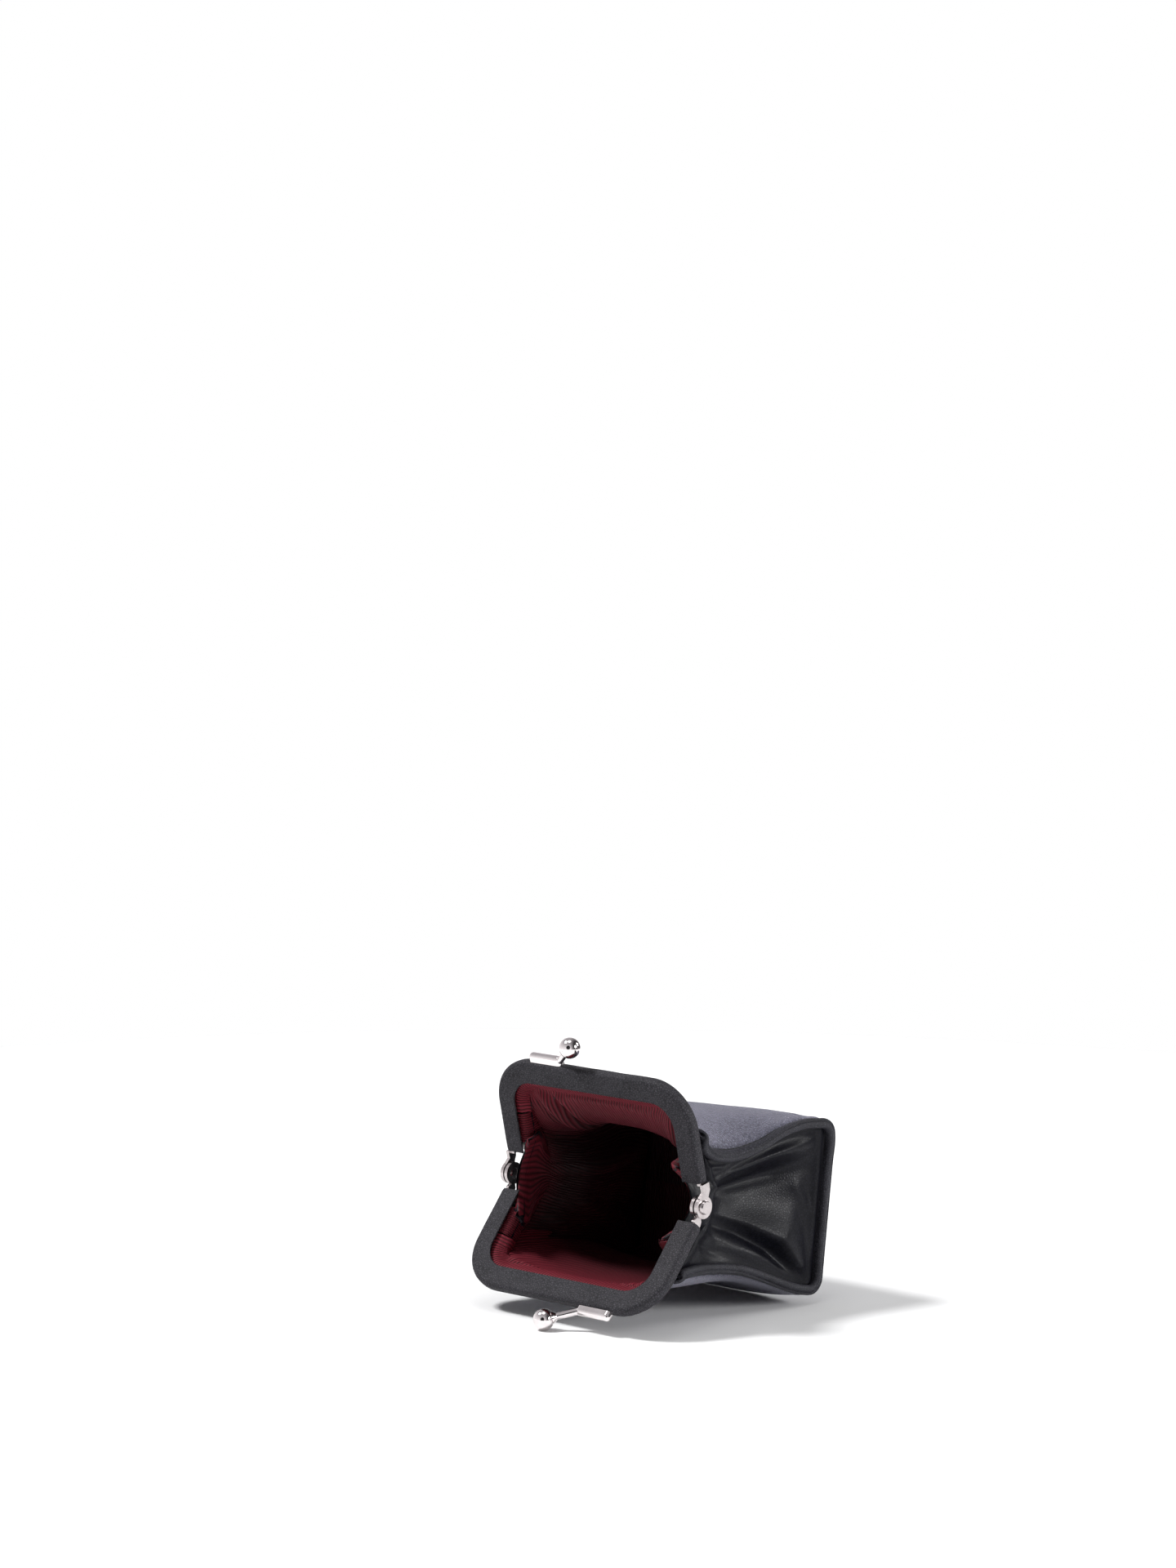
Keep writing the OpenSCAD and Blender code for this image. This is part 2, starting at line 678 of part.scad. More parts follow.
module lower_frame_channel() {
    color(steel)
        lower_place()
            arch_sweep(lower_bare)
                channel_section();
}

module lower_channel_cord() {
    color(paper)
        lower_place()
            arch_sweep(lower_bare + tongue_l + soft_gap)
                cord_section();
}

module lower_hinge_plate_left() {
    color(nickel)
        lower_place()
            mirror([1, 0, 0])
                lower_plate();
}

module lower_hinge_plate_right() {
    color(nickel)
        lower_place()
            lower_plate();
}

module lower_clasp_strip() {
    color(nickel)
        lower_place()
            clasp_strip();
}

module lower_clasp_ball() {
    color(nickel)
        lower_place()
            clasp_ball();
}

module hinge_rivet_left() {
    color(nickel)
        lower_place()
            mirror([1, 0, 0])
                rivet();
}

module hinge_rivet_right() {
    color(nickel)
        lower_place()
            rivet();
}

module front_panel() {
    color(leather_colour)
        panel(front_grid, 1);
}

module bottom_panel() {
    color(leather_colour)
        panel(rear_grid, 2);
}

module back_panel() {
    color(leather_colour)
        panel(back_grid, -1);
}

module gusset_right() {
    color(gusset_colour)
        sheet(gusset_grid, inset(gusset_grid, by_row(gusset_grid, -seat_leather, -gusset_t)));
}

module gusset_left() {
    mirror([1, 0, 0])
        gusset_right();
}

module front_lining() {
    color(lining_colour)
        lining(front_grid, 1);
}

module back_lining() {
    color(lining_colour)
        lining(back_grid, -1);
}

module bottom_lining() {
    g = [for (p = rear_line) [for (c = cols) rear_pt(p, c * lining_share)]];
    a = [for (row = g) -rear_lining_d];
    b = [for (row = g) -rear_lining_d - lining_t];
    color(lining_colour)
        sheet(inset(g, a), inset(g, b));
}

module gusset_lining_right() {
    g = gusset_grid;
    i1 = len(g) - 4;
    a = lining_row(g, -(seat_t - seat_lining), -(gusset_t + lining_gap * 2));
    b = lining_row(g, -seat_t, -(gusset_t + lining_gap * 2 + lining_t));
    color(lining_colour)
        sheet(inset_part(g, a, i1, 3, last_col - 3), inset_part(g, b, i1, 3, last_col - 3));
}

module gusset_lining_left() {
    mirror([1, 0, 0])
        gusset_lining_right();
}

module bottom_board() {
    g = [for (k = [0:1]) [for (c = [-1, 1])
        let (p = k == 0 ? top_c + [rear_r, 0] : low_c + [rear_r, end_gap])
        [c * lining_share * half_w, p[0] - mid_y, p[1]]]];
    a = [for (row = g) -board_d];
    b = [for (row = g) -board_d - board_t];
    color(paper)
        sheet(inset(g, a), inset(g, b));
}

upper_frame_cover();
upper_frame_channel();
upper_channel_cord();
upper_hinge_plate_left();
upper_hinge_plate_right();
upper_clasp_strip();
upper_clasp_ball();
lower_frame_cover();
lower_frame_channel();
lower_channel_cord();
lower_hinge_plate_left();
lower_hinge_plate_right();
lower_clasp_strip();
lower_clasp_ball();
hinge_rivet_left();
hinge_rivet_right();
front_panel();
bottom_panel();
back_panel();
gusset_left();
gusset_right();
front_lining();
bottom_lining();
back_lining();
gusset_lining_left();
gusset_lining_right();
bottom_board();
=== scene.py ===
import math

import bpy
import numpy as np
from mathutils import Matrix


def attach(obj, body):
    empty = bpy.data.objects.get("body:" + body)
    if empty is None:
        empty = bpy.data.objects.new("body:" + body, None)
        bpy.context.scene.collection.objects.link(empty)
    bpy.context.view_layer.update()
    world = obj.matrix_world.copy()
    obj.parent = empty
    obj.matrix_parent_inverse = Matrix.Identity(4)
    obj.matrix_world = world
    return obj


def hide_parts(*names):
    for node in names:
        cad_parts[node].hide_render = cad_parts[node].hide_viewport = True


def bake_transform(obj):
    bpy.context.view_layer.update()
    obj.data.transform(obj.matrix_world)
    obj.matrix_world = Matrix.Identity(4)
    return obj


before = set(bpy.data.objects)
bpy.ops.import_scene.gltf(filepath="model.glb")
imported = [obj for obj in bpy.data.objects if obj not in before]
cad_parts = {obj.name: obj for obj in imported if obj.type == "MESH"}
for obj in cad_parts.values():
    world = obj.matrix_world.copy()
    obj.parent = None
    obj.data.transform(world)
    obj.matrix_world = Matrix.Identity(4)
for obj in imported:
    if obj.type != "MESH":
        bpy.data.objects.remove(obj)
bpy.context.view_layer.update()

# Sizes in mm, angles in degrees, and numbers of rows
half_span = 35.8
arm_reach = 34.5
corner_r = 13.5
band_w = 6.4
band_t = 3.6
band_round = 1.1
upper_a = 76.0
lower_a = 51.0
v0 = 0.15
cover_t = 0.5
seat_u = 4.6
seat_t = 0.9
seam_leg = 20.0
bag_w = 68.0
bag_d = 58.0
bag_h = 51.0
rear_lean = 5.0
rear_r = 4.5
seam_rise = 3.5
waist_in = 2.0
leather = 1.0
gap = 0.3
rim_w = 2.4
gus_t = 0.8
gusset_end = 8.6
hinge_back = 2.5
fold_in = 6.0
mid_y = 14.0
pin_z = 34.446
edge_bulge = 6.8
upper_bare = 6.4
lower_bare = 4.8
body_n = 11  # key rows on each bent part of the strip
row_step = 0.75
gusset_step = 0.7
margin_l = 16  # the back's margin, which bends off the lower arm
edge_r = 1.16  # the turned edge's radius, and how far it stands over the panel
edge_up = 0.02
groove_to = 2.85
stitch_pitch = 2.3
stitch_in = 2.5
stitch_bare = 7.5  # no stitches this near a mouth
thread_r = 0.21
thread_sides = 8
wall_in = 2.3  # the gusset's seam, in from the strip's edge and down from its face
wall_down = 1.95
mouth_forward = 2.6  # the gusset's mouth, forward between the legs
lining_slack = 1.8
lining_sag = 5.4
lining_drawn = 2.6  # the lining's side edges, drawn in
lining_cut = 9  # rows that the gusset's lining ends before the rear panel

half_w = bag_w / 2
bar_half = half_span - corner_r
leg_top = arm_reach - corner_r
vc = v0 + band_t / 2
seat_v = vc + seat_t / 2
arc_r = corner_r - seat_u
path_l = bar_half + arc_r * math.pi / 2 + leg_top - seam_leg


def sind(a):
    return np.sin(np.radians(a))


def cosd(a):
    return np.cos(np.radians(a))


def unit(v):
    return v / np.maximum(np.linalg.norm(v, axis=-1, keepdims=True), 1e-9)


def smooth(x, a, b):
    t = np.clip((np.asarray(x, float) - a) / (b - a), 0, 1)
    return t * t * (3 - 2 * t)


def bell(x, width):
    return np.exp(-((x / width) ** 2))


ARMS = {
    "upper": (np.array([0, -cosd(upper_a), sind(upper_a)]), np.array([0, sind(upper_a), cosd(upper_a)])),
    "lower": (np.array([0, -cosd(lower_a), -sind(lower_a)]), np.array([0, sind(lower_a), -cosd(lower_a)])),
}
pin = np.array([0, -mid_y, pin_z])


def arm_pt(arm, x, y, v):
    d, o = ARMS[arm]
    x, y, v = np.broadcast_arrays(*(np.asarray(q, float) for q in (x, y, v)))
    return pin + np.stack([x, 0 * x, 0 * x], -1) + y[..., None] * d + v[..., None] * o


def arch_at(r, u):
    """x and y of the line along an arm at depth u, by share r of its half length."""
    r, u = np.broadcast_arrays(np.asarray(r, float), np.asarray(u, float))
    s = r * path_l
    a = np.degrees((s - bar_half) / arc_r)
    x = np.where(s <= bar_half, s, np.where(a <= 90, bar_half + (corner_r - u) * sind(a), half_span - u))
    y = np.where(s <= bar_half, arm_reach - u, np.where(
        a <= 90, leg_top + (corner_r - u) * cosd(a), leg_top - (s - bar_half - arc_r * np.pi / 2)))
    return x, y


def catmull(p, t):
    p = np.asarray(p, float)
    n = len(p) - 1
    t = np.asarray(t, float)
    i = np.minimum(np.floor(t * n).astype(int), n - 1)
    f = t * n - i
    if p.ndim > 1:
        f = f[..., None]
    a, b, c, d = p[np.maximum(i - 1, 0)], p[i], p[i + 1], p[np.minimum(i + 2, n)]
    return b + f * ((c - a) / 2 + f * ((a - 2.5 * b + 2 * c - 0.5 * d) + f * (1.5 * (b - c) + (d - a) / 2)))


def through(keys, s, at):
    """Smooth rows through key rows: keys (K, ..., 3) at lengths s (K), read at lengths at (N)."""
    s = np.asarray(s, float)
    h = np.diff(s)
    shape = (-1,) + (1,) * (keys.ndim - 1)
    slope = np.diff(keys, axis=0) / h.reshape(shape)
    w0, w1 = h[1:].reshape(shape), h[:-1].reshape(shape)
    tan = np.concatenate([slope[:1], (slope[:-1] * w0 + slope[1:] * w1) / (w0 + w1), slope[-1:]])
    i = np.clip(np.searchsorted(s, at, side="right") - 1, 0, len(h) - 1)
    f = ((at - s[i]) / h[i]).reshape(shape)
    hh = h[i].reshape(shape)
    return ((2 * f**3 - 3 * f**2 + 1) * keys[i] + (f**3 - 2 * f**2 + f) * hh * tan[i]
            + (-2 * f**3 + 3 * f**2) * keys[i + 1] + (f**3 - f**2) * hh * tan[i + 1])


exit_rows = [(seat_u, seat_v), (band_w + gap * 1.5, seat_v),
             (band_w + leather * 1.3, vc + band_t * 0.4), (band_w + leather * 2, v0 + band_t + leather)]
exit_n = len(exit_rows)
front_mid = [[-0.026, 1.188], [0.086, 1.163], [0.241, 1.129], [0.38, 1.1],
             [0.534, 1.071], [0.672, 1.045], [0.81, 1.022], [0.922, 1]]
front_seam = [[0.03, 1.059], [0.11, 0.937], [0.238, 0.888], [0.362, 0.88],
              [0.517, 0.916], [0.655, 0.98], [0.793, 1.01], [0.922, 1]]
front_waist = [-0.3, 0.2, 0.7, 1, 0.85, 0.5, 0.15, 0]
back_mid = [[-0.203, 0.198], [-0.11, 0.17], [0.034, 0.153], [0.207, 0.143],
            [0.379, 0.135], [0.545, 0.121], [0.71, 0.072], [0.836, 0]]
back_seam = [[-0.134, 0.306], [-0.034, 0.322], [0.086, 0.318], [0.216, 0.298],
             [0.362, 0.263], [0.517, 0.194], [0.69, 0.11], [0.836, seam_rise / bag_h]]
back_waist = [-0.4, 0, 0.5, 0.8, 0.85, 0.6, 0.2, 0]


def body_row(mid, seam, waist, t, c):
    """One row across the bag: c from -1 to 1."""
    r = np.abs(c)
    m, s = catmull(mid, t), catmull(seam, t)
    w = half_w - waist_in * catmull(waist, t)
    yz = m + (s - m) * (r**3)[:, None]
    return np.stack([c * w, yz[:, 0] * bag_d - mid_y, yz[:, 1] * bag_h], -1)


def exit_row(arm, e, c):
    x, y = arch_at(np.abs(c), e[0])
    p = arm_pt(arm, x, y, e[1])
    p[:, 0] *= np.where(c < 0, -1, 1)
    return p


top_c = np.array([bag_d - rear_r, bag_h - rear_r])
low_c = np.array([bag_d - rear_lean - rear_r, rear_r])
rear_up = unit(top_c - low_c)


def rear_row(p, c):
    lift = seam_rise * np.abs(c) ** 3 * min(1, max(0, 1 - (p[1] - low_c[1]) / (bag_h / 2)))
    q = np.asarray(p)[None, :] + rear_up[None, :] * lift[:, None]
    return np.stack([c * half_w, q[:, 0] - mid_y, q[:, 1]], -1)


def tilt(p):
    """The top of the purse sags to its left at the rear edge: points moved down or up."""
    p = np.array(p, float)
    at_x = [-34, -23, -10, 0, 12, 22, 30, 34]
    dz = np.interp(p[..., 0], at_x, [-1.9, -1.35, -0.65, -0.1, 0.75, 1.1, 0.6, 0])
    p[..., 2] += dz * smooth(p[..., 1], 8, 44) * smooth(p[..., 2], 12, 50)
    return p


def strip_keys(c, more=0.0):
    """The outer face of the whole strip, mouth to mouth, at the columns c, with more mm of it in the arms."""
    wide = c * (1 + more / path_l)
    rows = [exit_row("upper", e, wide) for e in exit_rows]
    rows += [body_row(front_mid, front_seam, front_waist, t, c) for t in np.linspace(0, 1 - 1 / bag_d, body_n)]
    rows += [rear_row(top_c + rear_r * np.array([cosd(a), sind(a)]), c) for a in np.arange(80, -1, -16)]
    rows += [rear_row(top_c + [rear_r, 0] + (low_c - top_c) * k / 5, c) for k in range(1, 5)]
    rows += [rear_row(low_c + rear_r * np.array([cosd(a), -sind(a)]), c) for a in np.arange(0, 81, 16)]
    rows += [body_row(back_mid, back_seam, back_waist, t, c) for t in np.linspace(1 - 2 / bag_d, 0, body_n)]
    rows += [exit_row("lower", e, wide) for e in exit_rows[::-1]]
    return tilt(rows)


def row_lengths(keys):
    step = np.linalg.norm(np.diff(keys, axis=0), axis=-1)
    return np.concatenate([[0], np.cumsum(step.mean(1))])


def grid_normals(g):
    du = np.gradient(g, axis=1)
    dv = np.gradient(g, axis=0)
    return unit(np.cross(du, dv))


def outward(g, row, axis):
    """The normals of a grid, turned so that the middle of the row points along the axis."""
    n = grid_normals(g)
    return -n if n[row, g.shape[1] // 2, axis] < 0 else n


# Mesh helpers
def make_mesh(name, verts, faces, mats, face_mat=None, uv=None):
    """verts in mm. uv is one pair for each vertex, in tenths of a metre."""
    me = bpy.data.meshes.new(name)
    me.from_pydata((np.asarray(verts, float) / 1000).tolist(), [], [tuple(f) for f in faces])
    for m in mats:
        me.materials.append(m)
    if face_mat is not None:
        me.polygons.foreach_set("material_index", np.asarray(face_mat, np.int32))
    me.polygons.foreach_set("use_smooth", np.ones(len(me.polygons), bool))
    if uv is not None:
        layer = me.uv_layers.new(name="UVMap")
        index = np.zeros(len(me.loops), np.int32)
        me.loops.foreach_get("vertex_index", index)
        layer.data.foreach_set("uv", np.asarray(uv, np.float32)[index].ravel())
    me.validate()
    me.update()
    ob = bpy.data.objects.new(name, me)
    bpy.context.scene.collection.objects.link(ob)
    return ob


def quads(n, m, wrap=False, start=0):
    """The faces of a grid of n rows with m points each, its last column joined to the first by wrap."""
    out = []
    for i in range(start, start + (n - 1) * m, m):
        for j in range(m if wrap else m - 1):
            j2 = (j + 1) % m
            out.append((i + j, i + j2, i + m + j2, i + m + j))
    return out


def two_skins(name, a, b, uv, mats, turned=False):
    """A thin sheet from its two faces: the first of mats is on a, the last on b."""
    n, m = a.shape[:2]
    faces = quads(n, m) + [f[::-1] for f in quads(n, m, start=n * m)]
    if turned:
        faces = [f[::-1] for f in faces]
    skin = np.repeat([0, len(mats) - 1], len(faces) // 2)
    uv = uv.reshape(-1, 2)
    verts = np.concatenate([a.reshape(-1, 3), b.reshape(-1, 3)])
    return make_mesh(name, verts, faces, mats, skin, np.concatenate([uv, uv]))


def grid_uv(g):
    """Lengths along and across a grid, in tenths of a metre."""
    du = np.linalg.norm(np.diff(g, axis=1), axis=-1)
    dv = np.linalg.norm(np.diff(g, axis=0), axis=-1)
    u = np.concatenate([[0], np.cumsum(du.mean(0))])
    v = np.concatenate([[0], np.cumsum(dv.mean(1))])
    u -= u.mean()
    return np.stack(np.broadcast_arrays(u[None, :], v[:, None]), -1).reshape(-1, 2) / 100


# Materials
def new_material(name):
    m = bpy.data.materials.new(name)
    m.use_nodes = True
    nt = m.node_tree
    nt.nodes.clear()
    out = nt.nodes.new("ShaderNodeOutputMaterial")
    b = nt.nodes.new("ShaderNodeBsdfPrincipled")
    nt.links.new(b.outputs[0], out.inputs[0])
    return m, nt, b


def put(n, **values):
    """Sets inputs of a node, with _ for each space in their names."""
    for k, v in values.items():
        n.inputs[k.replace("_", " ")].default_value = v
    return n


def noise(nt, co, **values):
    """The height of a noise texture over the coordinates co."""
    n = put(nt.nodes.new("ShaderNodeTexNoise"), **values)
    nt.links.new(co, n.inputs["Vector"])
    return n.outputs["Fac"]


def math_node(nt, op, a, b=None):
    n = nt.nodes.new("ShaderNodeMath")
    n.operation = op
    for k, v in enumerate((a, b)):
        if isinstance(v, (int, float)):
            n.inputs[k].default_value = v
        elif v is not None:
            nt.links.new(v, n.inputs[k])
    return n.outputs[0]


def times(nt, a, b):
    return math_node(nt, "MULTIPLY", a, b)


def plus(nt, a, b, k):
    """a + b times k."""
    return math_node(nt, "ADD", a, times(nt, b, k))


def ramp(nt, fac, stops):
    r = nt.nodes.new("ShaderNodeValToRGB")
    e = r.color_ramp.elements
    e[0].position, e[0].color = stops[0][0], (*stops[0][1], 1)
    e[1].position, e[1].color = stops[-1][0], (*stops[-1][1], 1)
    for p, c in stops[1:-1]:
        k = e.new(p)
        k.color = (*c, 1)
    nt.links.new(fac, r.inputs[0])
    return r.outputs[0]


def set_base_colour(nt, b, fac, stops):
    nt.links.new(ramp(nt, fac, stops), b.inputs["Base Color"])


def map_range(nt, v, a, b, c, d):
    n = put(nt.nodes.new("ShaderNodeMapRange"), From_Min=a, From_Max=b, To_Min=c, To_Max=d)
    nt.links.new(v, n.inputs["Value"])
    return n.outputs[0]


def bump(nt, b, height, strength, distance):
    n = put(nt.nodes.new("ShaderNodeBump"), Strength=strength, Distance=distance)
    nt.links.new(height, n.inputs["Height"])
    nt.links.new(n.outputs[0], b.inputs["Normal"])


def leather_material(name, dark, light, cell, depth, rough, shine, fine=0.25, crease=0.3, haze=0.0):
    """Grained leather: cells of the size cell (mm) with lows between them, fine creases, a mottled colour, and
    painted shade in the lows between the cells.
    """
    m, nt, b = new_material(name)
    uv = nt.nodes.new("ShaderNodeUVMap").outputs[0]
    warp = put(nt.nodes.new("ShaderNodeTexNoise"), Scale=60.0, Detail=2.0)
    nt.links.new(uv, warp.inputs["Vector"])
    mix = nt.nodes.new("ShaderNodeMix")
    mix.data_type = "VECTOR"
    mix.inputs["Factor"].default_value = 0.0035
    nt.links.new(uv, mix.inputs["A"])
    nt.links.new(warp.outputs["Color"], mix.inputs["B"])
    co = mix.outputs["Result"]
    cells = nt.nodes.new("ShaderNodeTexVoronoi")
    cells.feature = "DISTANCE_TO_EDGE"
    put(cells, Scale=100 / cell, Randomness=0.95)
    nt.links.new(co, cells.inputs["Vector"])
    pebble = math_node(nt, "POWER", map_range(nt, cells.outputs["Distance"], 0.0, 0.42, 0.0, 1.0), 0.8)
    grain = noise(nt, co, Scale=100 / (cell * 0.45), Detail=4.0, Roughness=0.6)
    long_crease = noise(nt, uv, Scale=22.0, Detail=5.0, Roughness=0.55, Distortion=0.6)
    height = plus(nt, plus(nt, pebble, grain, fine * 2), long_crease, crease * 3)
    bump(nt, b, height, 1.0, depth / 1000)
    patch = noise(nt, uv, Scale=9.0, Detail=3.0, Roughness=0.5)
    # the colour is darker in the lows between the cells: painted shade in the grain, over a random mottle
    set_base_colour(nt, b, plus(nt, times(nt, patch, 0.4), pebble, 0.6), [(0.2, dark), (0.8, light)])
    r = math_node(nt, "ADD", times(nt, pebble, -0.10), rough + 0.08)
    nt.links.new(plus(nt, r, long_crease, 0.08), b.inputs["Roughness"])
    put(b, Specular_IOR_Level=shine, Sheen_Weight=haze, Sheen_Roughness=0.35, Sheen_Tint=(0.86, 0.85, 1.0, 1))
    return m


M_COVER = leather_material("cover_leather", (0.014, 0.0135, 0.016), (0.060, 0.057, 0.067),
                           cell=0.6, depth=0.06, rough=0.5, shine=0.14, fine=0.5, crease=0.6)
# the strip's leather is coloured lighter and bluer than the covers': partly its own tone, partly painted sheen of
# the light along the top panel
M_PANEL = leather_material("bag_leather", (0.050, 0.049, 0.069), (0.120, 0.118, 0.168),
                           cell=0.72, depth=0.16, rough=0.48, shine=0.30, haze=0.5)
M_RIM = leather_material("rim_leather", (0.010, 0.010, 0.013), (0.044, 0.043, 0.055),
                         cell=0.6, depth=0.05, rough=0.45, shine=0.2, fine=0.5, crease=0.4)
M_GUSSET = leather_material("gusset_leather", (0.002, 0.002, 0.004), (0.009, 0.009, 0.014),
                            cell=0.8, depth=0.024, rough=0.30, shine=0.14, fine=0.3, crease=0.3)


def lining_material(name, gain, deep, far):
    """Ribbed cloth. Its colour is multiplied by gain at the mouth, painted light, falling to deep at far (dm) down
    in the bag, painted shade.
    """
    m, nt, b = new_material(name)
    uv = nt.nodes.new("ShaderNodeUVMap").outputs[0]
    split = nt.nodes.new("ShaderNodeSeparateXYZ")
    nt.links.new(uv, split.inputs[0])
    rib_pitch, weft_pitch = 0.0098, 0.0022
    x = plus(nt, split.outputs["X"], noise(nt, uv, Scale=8.0, Detail=1.0), 0.0012)
    ribs = math_node(nt, "SINE", times(nt, x, 2 * math.pi / rib_pitch))
    ribs = math_node(nt, "POWER", map_range(nt, ribs, -1.0, 1.0, 0.0, 1.0), 0.7)
    weft = math_node(nt, "SINE", times(nt, split.outputs["Y"], 2 * math.pi / weft_pitch))
    fibre = noise(nt, uv, Scale=420.0, Detail=3.0)
    bump(nt, b, plus(nt, plus(nt, ribs, weft, 0.08), fibre, 0.3), 1.0, 0.0002)
    # the colour follows the ribs, darker in their lows and lighter on their crowns: painted shade and painted light
    # on the ribs, with a random mottle
    tone = plus(nt, times(nt, ribs, 0.72), noise(nt, uv, Scale=6.0, Detail=3.0), 0.28)
    stops = [(0.1, (0.026, 0.0018, 0.0036)), (0.5, (0.095, 0.0062, 0.0125)), (0.9, (0.17, 0.013, 0.025))]
    # painted light near the mouth, fading to painted shade deeper in the bag
    mouth_light_deep_shade = map_range(nt, split.outputs["Y"], far * 0.24, far, gain, deep)
    shade = nt.nodes.new("ShaderNodeVectorMath")
    shade.operation = "SCALE"
    nt.links.new(ramp(nt, tone, stops), shade.inputs[0])
    nt.links.new(mouth_light_deep_shade, shade.inputs["Scale"])
    nt.links.new(shade.outputs[0], b.inputs["Base Color"])
    put(b, Roughness=0.6, Specular_IOR_Level=0.25)
    put(b, Sheen_Weight=0.12, Sheen_Roughness=0.4, Sheen_Tint=(0.75, 0.12, 0.18, 1))
    return m


# the three lining materials differ only in their painted light at the mouth and painted shade deeper in
M_LINING = lining_material("lining_fabric", gain=1.3, deep=0.10, far=0.21)
M_LINING_LOW = lining_material("lining_fabric_low", gain=1.35, deep=0.25, far=0.36)
M_LINING_SIDE = lining_material("lining_fabric_side", gain=1.0, deep=0.10, far=0.19)


def thread_and_groove_shade_material():
    m, nt, b = new_material("seam_thread_and_groove_shade")
    twist = put(nt.nodes.new("ShaderNodeTexWave"), Scale=260.0, Distortion=0.5)
    twist.bands_direction = "DIAGONAL"
    nt.links.new(nt.nodes.new("ShaderNodeUVMap").outputs[0], twist.inputs["Vector"])
    set_base_colour(nt, b, twist.outputs["Fac"], [(0.2, (0.004, 0.004, 0.006)), (0.8, (0.014, 0.014, 0.019))])
    bump(nt, b, twist.outputs["Fac"], 0.8, 0.00004)
    put(b, Roughness=0.6)
    return m


M_THREAD_AND_GROOVE_SHADE = thread_and_groove_shade_material()


def metal_material(name, low, high, rough):
    m, nt, b = new_material(name)
    co = nt.nodes.new("ShaderNodeTexCoord").outputs["Object"]
    haze = noise(nt, co, Scale=260.0, Detail=4.0, Roughness=0.6)
    scratch = noise(nt, co, Scale=1500.0, Detail=2.0, Distortion=1.5)
    set_base_colour(nt, b, haze, [(0.3, low), (0.7, high)])
    put(b, Metallic=1.0)
    nt.links.new(math_node(nt, "ADD", times(nt, haze, 0.10), rough), b.inputs["Roughness"])
    bump(nt, b, scratch, 0.15, 0.00002)
    return m


M_NICKEL = metal_material("nickel", (0.76, 0.715, 0.715), (0.90, 0.855, 0.855), rough=0.06)
M_PLATE = metal_material("plate_nickel", (0.44, 0.40, 0.40), (0.62, 0.575, 0.575), rough=0.16)
M_STEEL = metal_material("frame_steel", (0.30, 0.29, 0.28), (0.42, 0.41, 0.40), rough=0.32)


def paper_material():
    m, nt, b = new_material("paper")
    fibre = noise(nt, nt.nodes.new("ShaderNodeTexCoord").outputs["Object"], Scale=1800.0, Detail=4.0)
    set_base_colour(nt, b, fibre, [(0.3, (0.20, 0.14, 0.09)), (0.7, (0.36, 0.27, 0.18))])
    bump(nt, b, fibre, 0.5, 0.0001)
    put(b, Roughness=0.85)
    return m


M_PAPER = paper_material()

# Camera
AZ, EL, ROLL = 0.737228156, 0.189710142, 0.0105377744
TX, TY = 0.00348187558, -0.093474156
DIST, F_PX, PHOTO_PX = 1200.0, 5344.76316, 1920


def facing(right, up, fwd, at):
    """The matrix of a camera or lamp that looks along fwd."""
    return Matrix([[right[k], up[k], -fwd[k], at[k]] for k in range(3)] + [[0, 0, 0, 1]])


target = np.array([0, -14.409, 33.436])
back = np.array([math.sin(AZ) * math.cos(EL), -math.cos(AZ) * math.cos(EL), math.sin(EL)])
fwd = -back
right = unit(np.cross(fwd, [0, 0, 1.0]))
up = np.cross(right, fwd)
right, up = right * math.cos(ROLL) + up * math.sin(ROLL), -right * math.sin(ROLL) + up * math.cos(ROLL)
up, fwd = up * math.cos(TY) + fwd * math.sin(TY), -up * math.sin(TY) + fwd * math.cos(TY)
right, fwd = right * math.cos(TX) + fwd * math.sin(TX), -right * math.sin(TX) + fwd * math.cos(TX)
cam_data = bpy.data.cameras.new("camera")
cam_data.sensor_width = 36.0
cam_data.lens = F_PX * cam_data.sensor_width / PHOTO_PX
cam_data.clip_start, cam_data.clip_end = 0.01, 50
cam = bpy.data.objects.new("camera", cam_data)
bpy.context.scene.collection.objects.link(cam)
cam.matrix_world = facing(right, up, fwd, (target + back * DIST) / 1000)
bpy.context.scene.camera = cam
bpy.context.scene.view_settings.view_transform = "Standard"

# The strip: front, bottom and back in one
edge_d = [0.0, 0.2, 0.45, 0.75, 1.1, 1.5, 1.85, 2.1, 2.3, 2.45, 2.6, 2.8, 3.1]
d_list = np.concatenate([edge_d, np.arange(3.6, half_w - 0.4, 0.8)])
half_cols = 1 - d_list / half_w
cols = np.concatenate([-half_cols, [0.0], half_cols[::-1]])
d_cols = (1 - np.abs(cols)) * half_w
keys = strip_keys(cols)
key_s = row_lengths(keys)
total = key_s[-1]
row_s = np.linspace(0, total, int(total / row_step) + 1)
i_end = len(row_s) - 1
base = through(keys, key_s, row_s)
norm = outward(base, len(row_s) // 4, 2)


def both_ends(a, b):
    """For each row of the strip, 0 to 1 between a and b mm from the nearer mouth."""
    return smooth(row_s, a, b) * smooth(total - row_s, a, b)


out_share = both_ends(3.5, 9)


def wander(u, v, seed, count=14, lo=0.05, hi=0.25):
    """Soft irregular height over u and v (mm), about -1 to 1."""
    r = np.random.default_rng(seed)
    out = 0
    for _ in range(count):
        a, k, p = r.uniform(0, 2 * np.pi), r.uniform(lo, hi), r.uniform(0, 2 * np.pi)
        out = out + np.sin((u * math.cos(a) + v * math.sin(a)) * k + p)
    return out / math.sqrt(count) / 1.4


